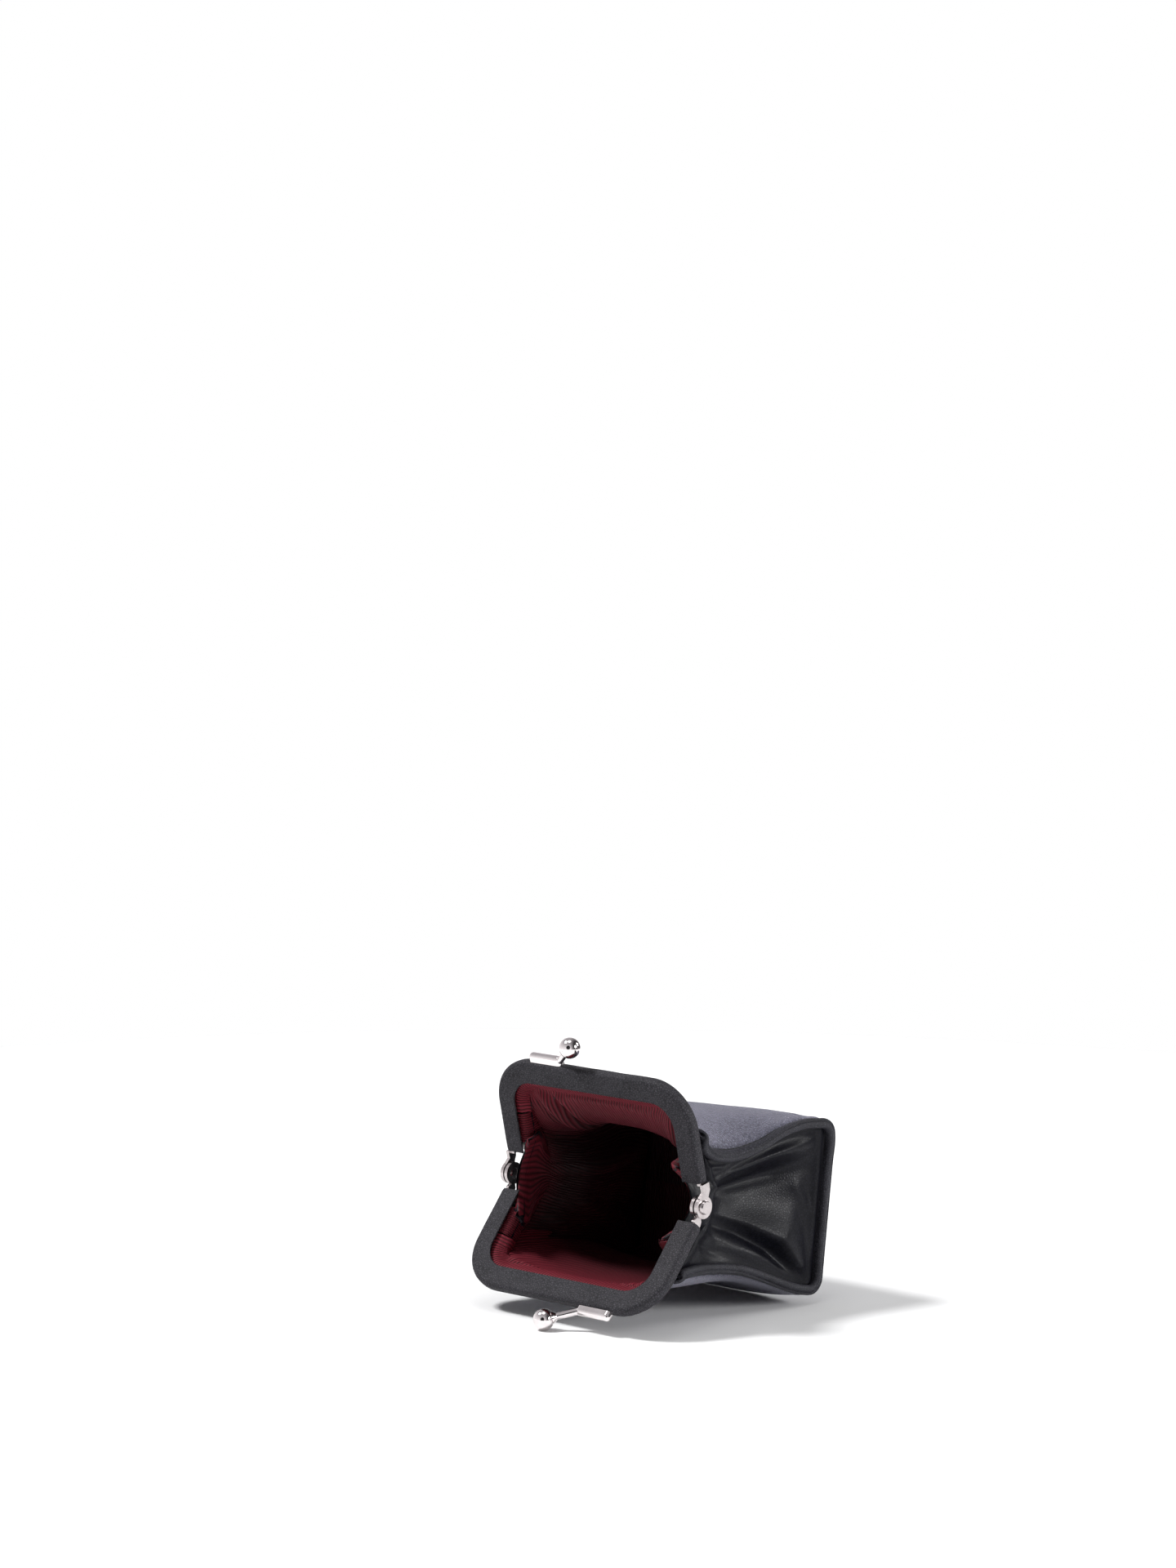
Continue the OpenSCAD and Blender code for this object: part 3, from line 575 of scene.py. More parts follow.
def rim_profile(d):
    """Height of the turned seam over the panel: a smooth band with a groove inside it."""
    band = 0.60 * np.sqrt(np.clip(1 - ((d - 1.15) / 1.2) ** 2, 0, 1))
    groove = -0.42 * bell(d - 2.6, 0.34)
    puff = 0.22 * bell(d - 4.9, 1.5)
    return np.where(d < 2.35, band, 0) + groove + puff


lumps = wander(cols[None, :] * half_w, row_s[:, None], 3) * smooth(d_cols, 3, 10)[None, :] * 0.28
dimple = 0.10 * np.cos(row_s * 2 * np.pi / stitch_pitch)[:, None] * bell(d_cols - 2.9, 0.5)[None, :]
height = (rim_profile(d_cols)[None, :] + dimple) * out_share[:, None] + lumps * out_share[:, None]
outer = base + norm * height[..., None]
# pared where it sits in the channels
thick = np.where(np.minimum(row_s, total - row_s) < 5, 0.5, leather)
inner = base - norm * thick[:, None, None]


def roll(j, k):
    """The turned edge at column j, with k the next one in: a half round from the outer face to the gusset
    side and back in to the wall, and a plain edge in the channels."""
    e, n = base[:, j], norm[:, j]
    o = unit(e - base[:, k])
    share = both_ends(6, 12)[:, None]
    pts = []
    for phi in np.linspace(78, -90, 11):
        p = e + o * edge_r * (cosd(phi) - 1) + n * (edge_r * sind(phi) - edge_r + edge_up)
        q = e - n * 0.25 * (1 - sind(phi)) + o * 0.2 * cosd(phi)
        pts.append(q + (p - q) * share)
    for run in (1.7, 2.2, 2.7, 3.2):
        p = e - o * run - n * (2 * edge_r + edge_up - 0.25 * (run - edge_r) / 2)
        q = e - n * 0.5 - o * run * 0.5
        pts.append(q + (p - q) * share)
    return np.stack(pts, 1)


roll_r, roll_l = roll(-1, -2), roll(0, 1)
# the ring round the strip: outer face, right edge, inner face, left edge; the faces end where an edge takes over
around = np.concatenate([outer[:, 2:-2], roll_r, inner[:, ::-1][:, 4:-4], roll_l[:, ::-1]], 1)
n_roll = roll_r.shape[1]
n_in = inner.shape[1] - 8
n_all = around.shape[1]
u_out = cols[2:-2] * half_w
u_roll = half_w + np.linspace(0.2, 6, n_roll)
u_all = np.concatenate([u_out, u_roll, cols[::-1][4:-4] * half_w, -u_roll[::-1]]) / 100
d_next = (d_cols[2:-2] + np.append(d_cols[3:-2], 9)) / 2
is_groove = np.concatenate([(d_next > rim_w) & (d_next < groove_to), np.zeros(2 * n_roll + n_in, bool)])
edge_on = np.ones(n_roll, bool)
is_rim = np.concatenate([d_cols[2:-2] < rim_w, edge_on, np.zeros(n_in, bool), edge_on])


def strip_part(name, i0, i1):
    """Rows i0 to i1 of the strip as one closed skin."""
    g = around[i0:i1 + 1]
    faces = quads(len(g), n_all, wrap=True)
    uv = np.stack(np.broadcast_arrays(u_all[None, :], row_s[i0:i1 + 1, None] / 100), -1).reshape(-1, 2)
    # faces in the stitch groove take the near-black thread material: painted shade in the groove
    kind = np.where(is_rim & np.roll(is_rim, -1), 1, np.where(is_groove, 2, 0))
    fm = np.tile(kind, len(g) - 1)
    ob = make_mesh(name, g.reshape(-1, 3), faces, [M_PANEL, M_RIM, M_THREAD_AND_GROOVE_SHADE], fm, uv)
    return ob


def row_at(s):
    return int(np.argmin(np.abs(row_s - s)))


top_key = exit_n + body_n
s_top, s_low = float(key_s[top_key]), float(key_s[-1 - top_key])
i_mid = row_at((s_top + s_low) / 2)
i_marg = row_at(total - margin_l)
strip_front = strip_part("front_strip", 0, i_mid)
strip_back = strip_part("back_strip", i_mid, i_marg)
strip_marg = strip_part("back_margin", i_marg, i_end)


# Stitches
def capsule(a, b, r):
    """A short thread from a to b: vertices, faces and the number of its rings."""
    ax = unit(b - a)
    side = unit(np.cross(ax, [0.3, 0.2, 1.0]))
    oth = np.cross(ax, side)
    length = np.linalg.norm(b - a)
    end = [(0.9, 0.35), (0.5, 0.8), (0, 1.0)]
    prof = [(-r * z, w) for z, w in end] + [(length * 0.5, 1.12)] + [(length + r * z, w) for z, w in end[::-1]]
    ang = np.linspace(0, 2 * np.pi, thread_sides, endpoint=False)
    round_it = np.cos(ang)[:, None] * side + np.sin(ang)[:, None] * oth
    v = np.concatenate([a + ax * z + round_it * r * w for z, w in prof])
    f = quads(len(prof), thread_sides, wrap=True)
    f.append(tuple(range(thread_sides - 1, -1, -1)))
    f.append(tuple(range(len(v) - thread_sides, len(v))))
    return v, f, len(prof)


def stitches(name, i0, i1):
    verts, faces, uvs = [], [], []
    for side in (-1, 1):
        j = int(np.argmin(np.abs(cols - side * (1 - stitch_in / half_w))))
        line = base[:, j] + norm[:, j] * (height[:, j] + 0.07)[:, None]
        s = np.concatenate([[0], np.cumsum(np.linalg.norm(np.diff(line, axis=0), axis=1))])
        for k in range(int(s[-1] / stitch_pitch)):
            a, b = k * stitch_pitch + 0.25, k * stitch_pitch + 1.85
            if a < max(s[i0], stitch_bare) or a >= min(s[i1], s[-1] - stitch_bare):
                continue
            pa, pb = (np.array([np.interp(e, s, line[:, q]) for q in range(3)]) for e in (a, b))
            v, f, rings = capsule(pa, pb, thread_r)
            off = sum(len(x) for x in verts)
            verts.append(v)
            faces += [tuple(off + q for q in ff) for ff in f]
            along = np.repeat(np.linspace(0, 0.018, rings), thread_sides) + k * stitch_pitch / 100
            uvs.append(np.stack([np.tile(np.linspace(0, 0.012, thread_sides), rings), along], -1))
    ob = make_mesh(name, np.concatenate(verts), faces, [M_THREAD_AND_GROOVE_SHADE], None, np.concatenate(uvs))
    return ob


stitch_front = stitches("front_stitches", 0, i_mid)
stitch_back = stitches("back_stitches", i_mid, i_marg)
stitch_marg = stitches("margin_stitches", i_marg, i_end)

# Gussets
leg_share, free_share = 0.35, 0.39
leg_from = seam_leg - gap - leather * 2


def mouth_pt(t, e, k):
    """The gusset's row k in the mouth, seated at e: along the upper leg, free behind the hinge, the lower leg."""
    x = half_span - e[0]
    fx = min(x, half_span - band_w - 2 * gap)
    a = arm_pt("upper", fx, gusset_end - leather, e[1])
    c = arm_pt("lower", fx, gusset_end - leather, e[1])
    g = np.array([fx + edge_bulge, 2 * hinge_back + k * leather - mid_y, pin_z])
    if t <= leg_share:
        return arm_pt("upper", x, leg_from - (leg_from - gusset_end) * t / leg_share, e[1])
    if t >= 1 - leg_share:
        return arm_pt("lower", x, leg_from - (leg_from - gusset_end) * (1 - t) / leg_share, e[1])
    w = (t - free_share) / (1 - 2 * free_share)
    return (1 - w) ** 2 * a + 2 * w * (1 - w) * g + w * w * c


def edge_frame(i):
    """Seam point, inward direction and outward normal of the strip's right edge at row i."""
    return base[i, -1], unit(base[i, -4] - base[i, -1]), norm[i, -1]


fold_shares = [0, 0.15, 0.5, 0.8, 1, 0.95, 0.85, 0.68, 0.5, 0.3, 0.12]
belly_shares = [1, 1, 0.8, 0.55, 0.35, 0.2, 0.1, 0.04, 0, 0, 0]
N_ACROSS = 97
w_line = np.linspace(0, 1, N_ACROSS)
front_i = [row_at(key_s[exit_n + k]) for k in range(body_n)]
back_i = [row_at(key_s[-1 - exit_n - k]) for k in range(body_n)]


def wall_row(f2, b2, fold, belly):
    return f2 + (b2 - f2) * w_line[:, None] + np.stack(
        [-fold * sind(180 * w_line) ** 1.4, belly * sind(180 * w_line), 0 * w_line], -1)


gus_rows = [exit_rows[0], exit_rows[1], (band_w + leather, exit_rows[2][1]), (band_w + leather, exit_rows[3][1]),
            (band_w + leather * 0.4, v0 + band_t + leather * 2.3)]
g_keys = [np.array([mouth_pt(t, e, k) for t in w_line]) for k, e in enumerate(gus_rows)]
for k in range(1, body_n):
    ef, inf, nf = edge_frame(front_i[k])
    eb, inb, nb = edge_frame(back_i[k])
    f2 = ef + inf * wall_in - nf * wall_down
    b2 = eb + inb * wall_in - nb * wall_down
    g_keys.append(wall_row(f2, b2, fold_in * fold_shares[k], bag_d / 5 * belly_shares[k]))
x_end = half_w - wall_in
for a, down in ((62, 2.0), (40, 2.0), (18, 2.1), (0, 2.2)):
    r = rear_r - down
    f2 = rear_row(top_c + r * np.array([cosd(a), sind(a)]), np.array([1.0]))[0]
    b2 = rear_row(low_c + r * np.array([cosd(a), -sind(a)]), np.array([1.0]))[0]
    f2[0] = b2[0] = x_end + (0.2 if a else 0.6)
    g_keys.append(wall_row(f2, b2, 0, 0))
g_keys = np.array(g_keys)
g_s = row_lengths(g_keys)
g_rows = np.linspace(0, g_s[-1], int(g_s[-1] / gusset_step) + 1)
wall = through(g_keys, g_s, g_rows)
# between the legs the edge comes forward, close behind the hinge
wall[..., 1] -= mouth_forward * bell(w_line[None, :] - 0.5, 0.13) * (1 - smooth(g_rows, 2, 12))[:, None]


def ridge(p, pts, width, height, sharp=1.0, side=0.0):
    """Height of a fold along the line pts (y, z), with its width and height at each point. It may lean to a side."""
    y, z = p[..., 1], p[..., 2]
    out = np.zeros(y.shape)
    best = np.full(y.shape, 1e9)
    pts = np.asarray(pts, float)
    for i in range(len(pts) - 1):
        a, b = pts[i], pts[i + 1]
        d = b - a
        t = np.clip(((y - a[0]) * d[0] + (z - a[1]) * d[1]) / (d @ d), 0, 1)
        cy, cz = a[0] + t * d[0], a[1] + t * d[1]
        dist = np.hypot(y - cy, z - cz)
        sgn = np.sign(d[0] * (z - a[1]) - d[1] * (y - a[0]))
        w = width[i] + (width[i + 1] - width[i]) * t
        h = height[i] + (height[i + 1] - height[i]) * t
        w = w * np.where(sgn > 0, 1 + side, 1 - side)
        val = h * np.exp(-((dist / w) ** (2 * sharp)))
        out = np.where(dist < best, val, out)
        best = np.minimum(best, dist)
    return out


m_g = smooth(g_rows, 7, 14) * smooth(g_s[-1] - g_rows, 1.5, 7)
m_w = smooth(w_line, 0.02, 0.16) * smooth(1 - w_line, 0.02, 0.16)
mask = m_g[:, None] * m_w[None, :]
gusset_folds = [  # points, widths, heights (under 0 for a valley), sharpness, lean
    ([(-6, 43.5), (2, 42.5), (9, 43.5), (16, 45)], [0.7, 1.0, 1.1, 1.0], [0.3, 0.9, 0.6, 0.1]),
    ([(-4, 38.2), (8, 41), (24, 44.2), (39, 46.7)], [1.4, 2.2, 2.6, 2.8], [0.8, 2.3, 2.6, 0.9], 0.8, -0.3),
    ([(-2, 34.6), (9.5, 35.4), (25, 37.6), (39, 40)], [1.3, 2.0, 2.8, 3.2], [-0.6, -2.0, -1.9, -0.2]),
    ([(0, 30), (14, 25.1), (24.7, 19.4), (30.8, 11.5)], [2.4, 4.2, 5.6, 4.6], [0.4, 2.4, 3.6, 2.0], 0.8, 0.62),
    ([(1, 26.5), (12.5, 21.5), (22.5, 16.2), (28.5, 9)], [1.0, 1.6, 2.0, 1.8], [-0.3, -1.6, -2.4, -1.2], 0.9),
    ([(-8, 26.9), (4.5, 21), (16, 14.2), (24, 9.5)], [1.4, 2.4, 2.6, 1.8], [0.4, 1.2, 1.1, 0.2], 0.9, 0.2),
    ([(-10, 23.5), (0, 18.5), (10, 13.5)], [1.0, 1.4, 1.4], [-0.3, -1.0, -0.4]),
    ([(32, 33), (37, 24), (38, 13)], [1.6, 2.0, 1.6], [0.3, 0.7, 0.3]),
]
relief = sum(ridge(wall, *fold) for fold in gusset_folds)
relief = (relief + wander(wall[..., 1], wall[..., 2], 11, 16, 0.12, 0.5) * 0.22) * mask
lining_wall = wall + np.stack([np.minimum(relief, relief * 0.35), 0 * relief, 0 * relief], -1)
wall = wall + np.stack([relief, 0 * relief, 0 * relief], -1)
g_norm = outward(wall, len(g_rows) // 2, 0)
halves = (("front", 0, N_ACROSS // 2), ("back", N_ACROSS // 2, N_ACROSS - 1))


def to_side(g, side):
    """A grid of the right gusset for that side, or mirrored and tilted for the left one."""
    return g if side > 0 else tilt(g * [-1, 1, 1])


def gusset_parts(side):
    tag = "right" if side > 0 else "left"
    w = to_side(wall, side)
    inside = w - g_norm * [side, 1, 1] * np.where(g_rows < 3, 0.3, gus_t)[:, None, None]
    uv = grid_uv(wall).reshape(len(g_rows), N_ACROSS, 2)
    made = []
    for part, j0, j1 in halves:
        a, b, u = (g[:, j0:j1 + 1] for g in (w, inside, uv))
        ob = two_skins(f"gusset_{tag}_{part}", a, b, u, [M_GUSSET], turned=side > 0)
        made.append(ob)
    return made


gussets = {side: gusset_parts(side) for side in (1, -1)}

# Lining
lin_cols = np.concatenate([np.linspace(-1, -0.72, 20), np.linspace(-0.70, 0.70, 90), np.linspace(0.72, 1, 20)])
lin_keys = strip_keys(lin_cols, lining_slack)
lin_base = through(lin_keys, key_s, row_s)
lin_norm = outward(lin_base, len(row_s) // 4, 2)
rear_zone = smooth(row_s, s_top - 8, s_top + 2) * smooth(-row_s, -(s_low + 8), -(s_low - 2))
seat_zone = 1 - both_ends(2.5, 7)
depth = (1.25 + rear_zone) * (1 - seat_zone) + 0.62 * seat_zone
edge_deep = 1.3 * smooth(np.abs(lin_cols), 0.88, 0.96)[None, :] * both_ends(4, 9)[:, None]
xx = lin_cols[None, :] * half_w
ss = row_s[:, None]
tt = total - ss
sag = smooth(ss, 6, 17) * (1 - smooth(ss, 18, 50)) * (1 - np.abs(xx / half_w) ** 6)
lining_folds = [  # height, x at the mouth, drift for each mm, width, mm in where it is full, fades and ends
    (2.2, -21.5, 0.30, 1.7, 9, 18, 30), (-2.4, -18.0, 0.26, 1.0, 10, 16, 26), (1.0, -15.6, 0.30, 1.5, 9, 16, 26),
    (-1.2, -25.5, 0.20, 1.1, 9, 14, 24), (0.8, 24, 0.10, 1.5, 10, 16, 30),
]
puff = 0.5 + 0.3 * wander(xx, ss, 21, 12, 0.05, 0.14) + lining_sag * sag
for high, x0, drift, width, full, fade, end in lining_folds:
    puff = puff + high * bell(xx - x0 - (ss - 4) * drift, width) * smooth(ss, 4, full) * (1 - smooth(ss, fade, end))
puff = puff + 0.12 * np.sin(xx * 2.1 + 0.8 * np.sin(xx * 0.7)) * bell(ss - 7.5, 3)
puff = puff + 0.25 * np.sin(xx * 1.9 + 1.2) * bell(tt - 7.5, 3)
puff = np.maximum(puff * (1 - smooth(np.abs(xx / half_w), 0.90, 0.99)), 0.25) * (1 - seat_zone)[:, None]


def averaged(n, reach, axis):
    """Normals averaged over reach rows (axis 0) or columns (axis 1) each way."""
    size = n.shape[axis]
    n = np.pad(n, [(reach, reach) if k == axis else (0, 0) for k in range(3)], mode="edge")
    return unit(sum(np.take(n, range(k, k + size), axis) for k in range(2 * reach + 1)))


# the puff goes along averaged normals, so that it can't fold through the bend at the mouth
wide_norm = averaged(lin_norm, 10, 0)
level_norm = averaged(wide_norm, 8, 1)
at_mouth = (smooth(row_s, 3, 6) * (1 - smooth(row_s, 18, 26)))[:, None, None]
skin_norm = unit(lin_norm * (1 - at_mouth) + level_norm * at_mouth)
hang = lin_base - wide_norm * puff[..., None]
lin_in = hang - skin_norm * (depth[:, None] + edge_deep + 0.12)[..., None]
lin_out = hang - skin_norm * (depth[:, None] + edge_deep - 0.05)[..., None]
# the side edges are drawn in, under the gusset's lining
edge_in = lining_drawn * smooth(np.abs(lin_cols), 0.9, 1.0)[None, :] * both_ends(6, 12)[:, None]
for g in (lin_in, lin_out):
    g[..., 0] -= np.sign(lin_cols)[None, :] * edge_in
at_side = smooth(np.abs(lin_cols), 0.45, 0.8)[None, :]
rib_x = lin_base[..., 0] * (1 - at_side) + lin_cols[None, :] * path_l * at_side
lin_uv = np.stack(np.broadcast_arrays(rib_x, np.minimum(row_s, total - row_s)[:, None]), -1) / 100


def lining_part(name, i0, i1, mat):
    a, b, u = (g[i0:i1 + 1] for g in (lin_in, lin_out, lin_uv))
    ob = two_skins(name, a, b, u, [mat, M_RIM])
    return ob


lining_front = lining_part("front_lining_cloth", 0, i_mid, M_LINING)
lining_back = lining_part("back_lining_cloth", i_mid, i_marg, M_LINING_LOW)
lining_marg = lining_part("margin_lining_cloth", i_marg, i_end, M_LINING_LOW)


def gusset_lining(side):
    tag = "right" if side > 0 else "left"
    n = outward(lining_wall, len(g_rows) // 2, 0)
    seat = 1 - smooth(g_rows, 2.5, 7)
    off = (gus_t + 0.35) * (1 - seat) + 0.55 * seat
    ruck = 0.3 + 0.25 * wander(wall[..., 1], wall[..., 2], 31 + side, 14, 0.1, 0.4)
    wave = np.sin(w_line * 70 + 1.5 * np.sin(w_line * 17))[None, :]
    ruck = ruck + 0.22 * wave * bell(g_rows[:, None] - 7, 4)
    ruck = np.maximum(ruck, 0.03) * (1 - seat)[:, None] * (0.3 + 0.7 * m_w[None, :])
    red, dark = (to_side(lining_wall - n * (off[:, None] + t + ruck)[..., None], side) for t in (0.1, -0.1))
    uv = grid_uv(lining_wall).reshape(len(g_rows), N_ACROSS, 2)
    made = []
    for part, j0, j1 in halves:
        a, b, u = (g[:-lining_cut, j0:j1 + 1] for g in (red, dark, uv))
        ob = two_skins(f"gusset_lining_{tag}_{part}_cloth", a, b, u, [M_LINING_SIDE, M_RIM])
        made.append(ob)
    return made


gusset_linings = {side: gusset_lining(side) for side in (1, -1)}


# Covers of the frame's arms
def cover(arm, bare):
    """Leather wrapped round the channel: a U section swept along the arch, its lips towards the purse."""
    r = band_round
    lip_r, crown, uneven, end_dip = 0.25, 0.10, 0.055, 0.16
    u_mid = band_w / 2
    lip_u = band_w - lip_r
    sec = []
    # outer loop from one lip round the outer edge to the other lip, a little crowned on the seen face
    for u in np.linspace(lip_u, r, 12):
        sec.append((u, v0 + band_t + crown * (1 - ((u - u_mid) / u_mid) ** 2)))
    for a in np.linspace(90, 180, 8)[1:]:
        sec.append((r + r * cosd(a), v0 + band_t - r + r * sind(a)))
    for v in np.linspace(v0 + band_t - r, v0 + r, 5)[1:]:
        sec.append((-0.04 * math.sin(math.pi * (v - v0) / band_t), v))
    for a in np.linspace(180, 270, 8)[1:]:
        sec.append((r + r * cosd(a), v0 + r + r * sind(a)))
    for u in np.linspace(r, lip_u, 12)[1:]:
        sec.append((u, v0))
    n_out = len(sec)
    half_turn = np.linspace(-90, 90, 7)[1:]
    inner_u = [band_w - 0.3, 4.5, 2.5, cover_t]
    sec += [(lip_u + lip_r * cosd(a), v0 + lip_r + lip_r * sind(a)) for a in half_turn]
    sec += [(u, v0 + cover_t) for u in inner_u]
    sec += [(u, v0 + band_t - cover_t) for u in inner_u[::-1]]
    sec += [(lip_u + lip_r * cosd(a), v0 + band_t - lip_r + lip_r * sind(a)) for a in half_turn]
    sec = np.array(sec)
    # stations along the half arch: the centre of its bend, and the direction outwards
    st = [(x, leg_top, 90.0) for x in np.linspace(0, bar_half, 46)]
    st += [(bar_half, leg_top, a) for a in np.linspace(90, 0, 34)[1:]]
    st += [(bar_half, y, 0.0) for y in np.linspace(leg_top, bare + 0.12, 30)[1:]] + [(bar_half, bare + 0.02, 0.0)]
    rad = corner_r - sec[:, 0]
    half = [np.stack([cx + rad * cosd(a), cy + rad * sind(a), sec[:, 1]], -1) for cx, cy, a in st]
    half = np.array(half)
    lengths = np.concatenate([[0], np.cumsum(np.linalg.norm(np.diff(half.mean(1), axis=0), axis=1))])
    full = np.concatenate([half[::-1] * [-1, 1, 1], half[1:]])
    run = np.concatenate([-lengths[::-1], lengths[1:]])
    # unevenness of the wrapped leather, on the outer loop only, drawn in at the ends
    per = np.concatenate([[0], np.cumsum(np.linalg.norm(np.diff(sec, axis=0), axis=1))])
    bumpy = wander(run[:, None], per[None, :] * 2.2, 41 if arm == "upper" else 43, 16, 0.08, 0.6) * uneven
    soft = np.zeros(len(sec))
    soft[1:n_out - 1] = 1
    d_sec = np.gradient(sec, axis=0)
    nrm = unit(np.stack([-d_sec[:, 1], d_sec[:, 0]], -1))
    if nrm[15, 0] > 0:
        nrm = -nrm
    ends = smooth(lengths[-1] - np.abs(run), 0, 0.9)
    shift = (bumpy * soft[None, :]) * ends[:, None] - (1 - ends[:, None]) * end_dip * soft[None, :]
    # outward direction of u at each station
    full_a = np.array([station[2] for station in st])
    ang = np.concatenate([180 - full_a[::-1], full_a[1:]])
    full[..., 0] -= (nrm[:, 0][None, :] * shift) * cosd(ang)[:, None]
    full[..., 1] -= (nrm[:, 0][None, :] * shift) * sind(ang)[:, None]
    full[..., 2] += nrm[:, 1][None, :] * shift
    pts = arm_pt(arm, full[..., 0], full[..., 1], full[..., 2])
    n, m = pts.shape[:2]
    faces = quads(n, m, wrap=True)
    # end caps: the U ring is closed between its outer and inner loops
    ring_out = list(range(n_out))
    ring_in = list(range(m - 1, n_out - 1, -1))
    for k, flip in ((0, False), (n - 1, True)):
        o = k * m
        a = [o + q for q in ring_out]
        b = [o + q for q in ring_in]
        bi = np.linspace(0, len(b) - 1, len(a)).round().astype(int)
        for q in range(len(a) - 1):
            f = [a[q], a[q + 1], b[bi[q + 1]]] + ([b[bi[q]]] if bi[q] != bi[q + 1] else [])
            faces.append(tuple(f if flip else f[::-1]))
    uv = np.stack(np.broadcast_arrays(run[:, None], per[None, :]), -1).reshape(-1, 2) / 100
    ob = make_mesh(f"{arm}_cover_leather", pts.reshape(-1, 3), faces, [M_COVER], None, uv)
    return ob


cover_upper = cover("upper", upper_bare)
cover_lower = cover("lower", lower_bare)

# CAD nodes that stay
for name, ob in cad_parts.items():
    if "clasp" in name:
        mat = M_NICKEL
    elif "plate" in name or "rivet" in name:
        mat = M_PLATE
    elif "channel" in name and "cord" not in name:
        mat = M_STEEL
    elif "cord" in name or "board" in name:
        mat = M_PAPER
    else:
        mat = M_GUSSET if "gusset" in name else M_PANEL
    ob.data.materials.clear()
    ob.data.materials.append(mat)
    if mat is M_PLATE:
        bev = ob.modifiers.new("edge", "BEVEL")
        bev.width, bev.segments, bev.limit_method = 0.00014, 3, "ANGLE"
        bev.angle_limit = math.radians(50)

# Riding
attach(cover_upper, "upper_arm")
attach(cover_lower, "lower_arm")
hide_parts("upper_frame_cover")
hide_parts("lower_frame_cover")


def bends(obs):
    for o in obs:
        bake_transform(o)


# the front and the back, with the rear corners between them: bottom to front at the top, back to bottom at the
# table; each piece's transform is baked into its mesh
bends([strip_front, stitch_front, lining_front])
bends([strip_back, stitch_back, lining_back])
# the margin, which on the purse bends off the lower arm behind its leg, 28 mm from the pin; its transform is baked
# into its meshes
bends([strip_marg, stitch_marg, lining_marg])
for side in (1, -1):
    bends([gussets[side][0], gusset_linings[side][0]])
    bends([gussets[side][1], gusset_linings[side][1]])

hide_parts("front_panel")
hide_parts("bottom_panel")
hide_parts("back_panel")
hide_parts("gusset_right")
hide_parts("gusset_left")
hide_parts("front_lining")
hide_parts("bottom_lining")
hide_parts("back_lining")
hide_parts("gusset_lining_right")
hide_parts("gusset_lining_left")


# Stage and light
def stage_material():
    mt, nt, b = new_material("stage_paper")
    grain = noise(nt, nt.nodes.new("ShaderNodeTexCoord").outputs["Object"], Scale=40.0, Detail=3.0)
    set_base_colour(nt, b, grain, [(0.3, (0.93, 0.93, 0.935)), (0.7, (0.95, 0.95, 0.955))])
    put(b, Roughness=0.9, Specular_IOR_Level=0.1)
    return mt


floor_r, floor_z, n_s, n_a = 500, -0.05, 24, 96
disc = np.array([[r * math.cos(a), r * math.sin(a), floor_z] for r in np.linspace(0, 1, n_s)[1:] * floor_r
                 for a in np.linspace(0, 2 * np.pi, n_a, endpoint=False)] + [[0, 0, floor_z]])
centre = len(disc) - 1
floor_faces = [f[::-1] for f in quads(n_s - 1, n_a, wrap=True)] + [(centre, k, (k + 1) % n_a) for k in range(n_a)]
floor = make_mesh("floor", disc, floor_faces, [stage_material()])

world = bpy.data.worlds.new("studio")
bpy.context.scene.world = world
world.use_nodes = True
wn = world.node_tree
wn.nodes.clear()
w_out = wn.nodes.new("ShaderNodeOutputWorld")
soft_bg, white_bg, room_bg = (put(wn.nodes.new("ShaderNodeBackground"), Color=(1, 1, 1, 1), Strength=1.0)
                              for _ in range(3))
towards = wn.nodes.new("ShaderNodeTexCoord").outputs["Generated"]
split = wn.nodes.new("ShaderNodeSeparateXYZ")
wn.links.new(towards, split.inputs[0])


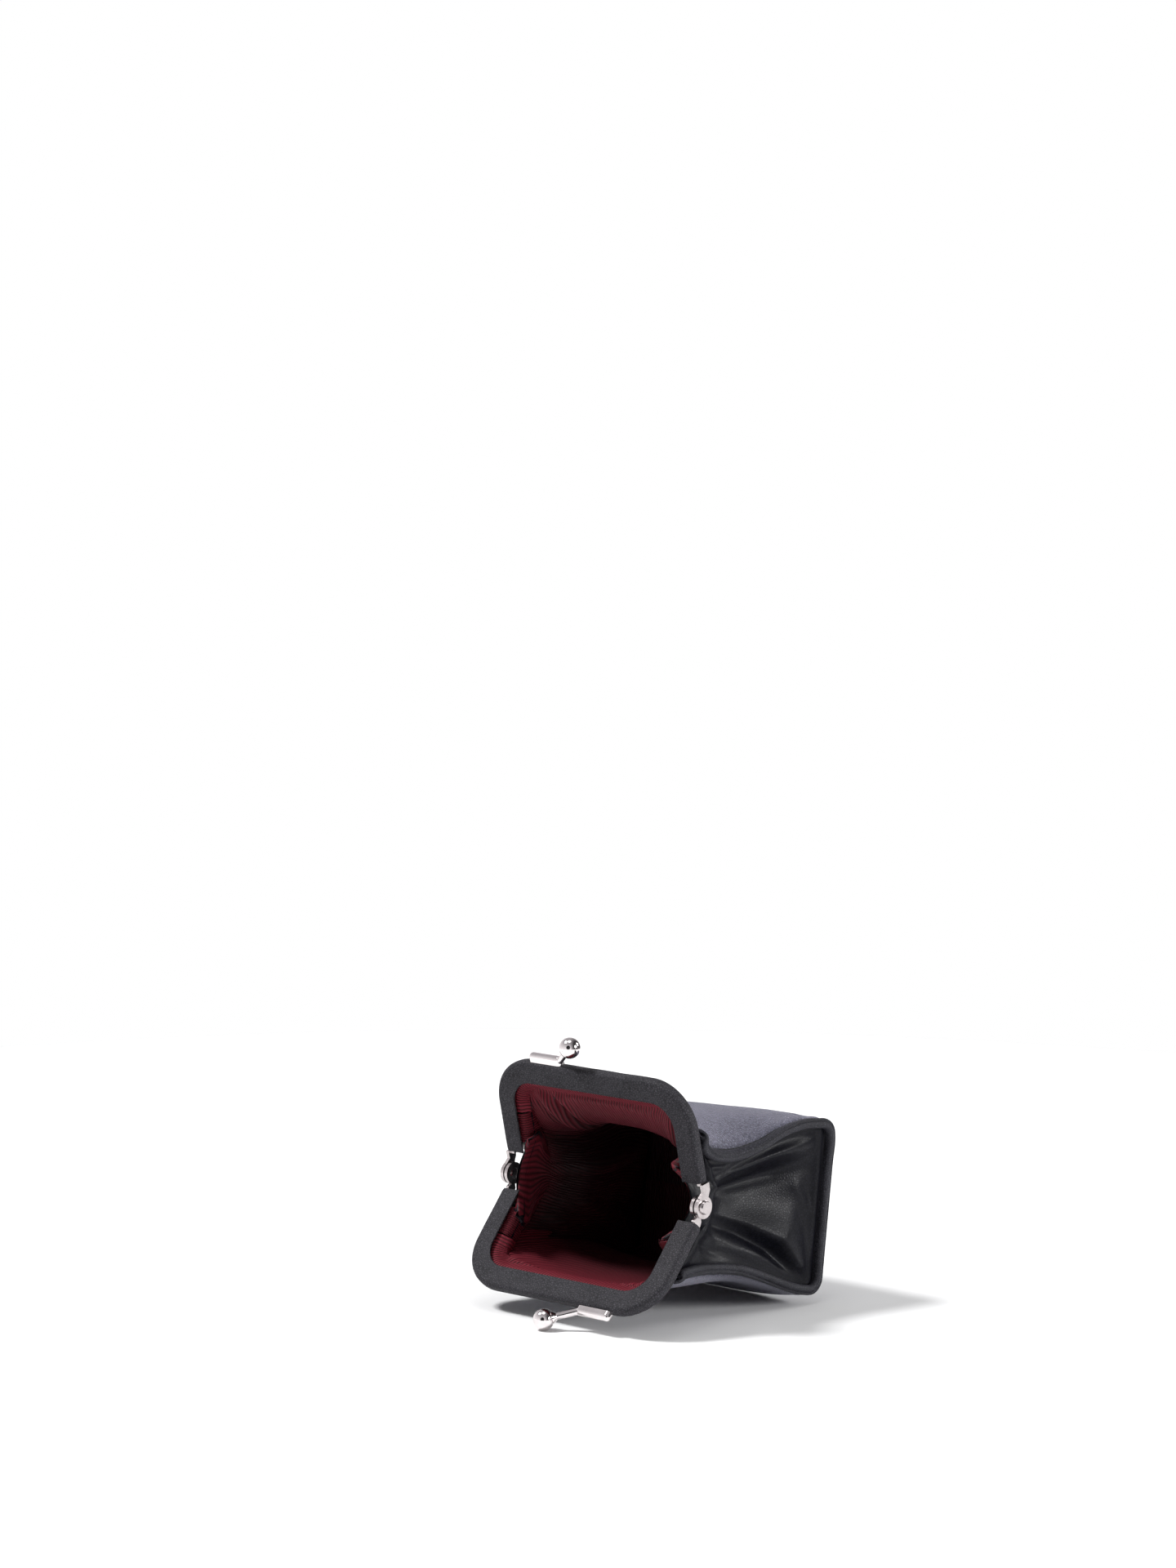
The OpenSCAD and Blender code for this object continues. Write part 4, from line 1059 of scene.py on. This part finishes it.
def near_to(direction):
    """1 where the world is seen in this direction, 0 at a right angle to it."""
    n = wn.nodes.new("ShaderNodeVectorMath")
    n.operation = "DOT_PRODUCT"
    n.inputs[1].default_value = direction
    wn.links.new(towards, n.inputs[0])
    return n.outputs["Value"]


def mix_shaders(share, a, b):
    n = wn.nodes.new("ShaderNodeMixShader")
    for k, socket in enumerate((share, a.outputs[0], b.outputs[0])):
        wn.links.new(socket, n.inputs[k])
    return n


# what matt pieces are lit by: soft light from above
wn.links.new(map_range(wn, split.outputs["Z"], 0.0, 0.7, 0.05, 0.30), soft_bg.inputs[1])
# what shiny pieces see: a bright room, darker overhead and to the rear right, with a dark spot in front
high = map_range(wn, split.outputs["Z"], 0.05, 0.75, 1.0, 0.40)
high = times(wn, high, map_range(wn, near_to((0.72, 0.69, 0.0)), 0.1, 0.6, 1.0, 0.1))
level = times(wn, high, map_range(wn, near_to((0.44, -0.87, 0.22)), 0.91, 0.95, 1.0, 0.02))
tint = ramp(wn, level, [(0.0, (0, 0, 0)), (0.5, (0.50, 0.485, 0.50)), (1.0, (1.0, 0.975, 0.99))])
wn.links.new(tint, room_bg.inputs[0])
path = wn.nodes.new("ShaderNodeLightPath")
shiny = math_node(wn, "MAXIMUM", path.outputs["Is Glossy Ray"], path.outputs["Is Transmission Ray"])
lit = mix_shaders(shiny, soft_bg, room_bg)
wn.links.new(mix_shaders(path.outputs["Is Camera Ray"], lit, white_bg).outputs[0], w_out.inputs[0])


def lamp(name, at, size, power):
    """A disc lamp that looks at the purse."""
    d = bpy.data.lights.new(name, "AREA")
    d.shape, d.size, d.energy = "DISK", size, power
    o = bpy.data.objects.new(name, d)
    bpy.context.scene.collection.objects.link(o)
    fwd = unit(np.array([0, 0, 0.03]) - at)
    side = unit(np.cross(fwd, [0, 0, 1.0]))
    o.matrix_world = facing(side, np.cross(side, fwd), fwd, at)


lamp("key", (-0.95, -0.95, 2.05), size=0.6, power=56)
lamp("side", (2.38, 0.96, 0.83), size=0.8, power=40)
lamp("rear", (1.10, 2.08, 1.10), size=0.8, power=16)
lamp("fill", (0.1, -0.3, 2.5), size=1.2, power=7)
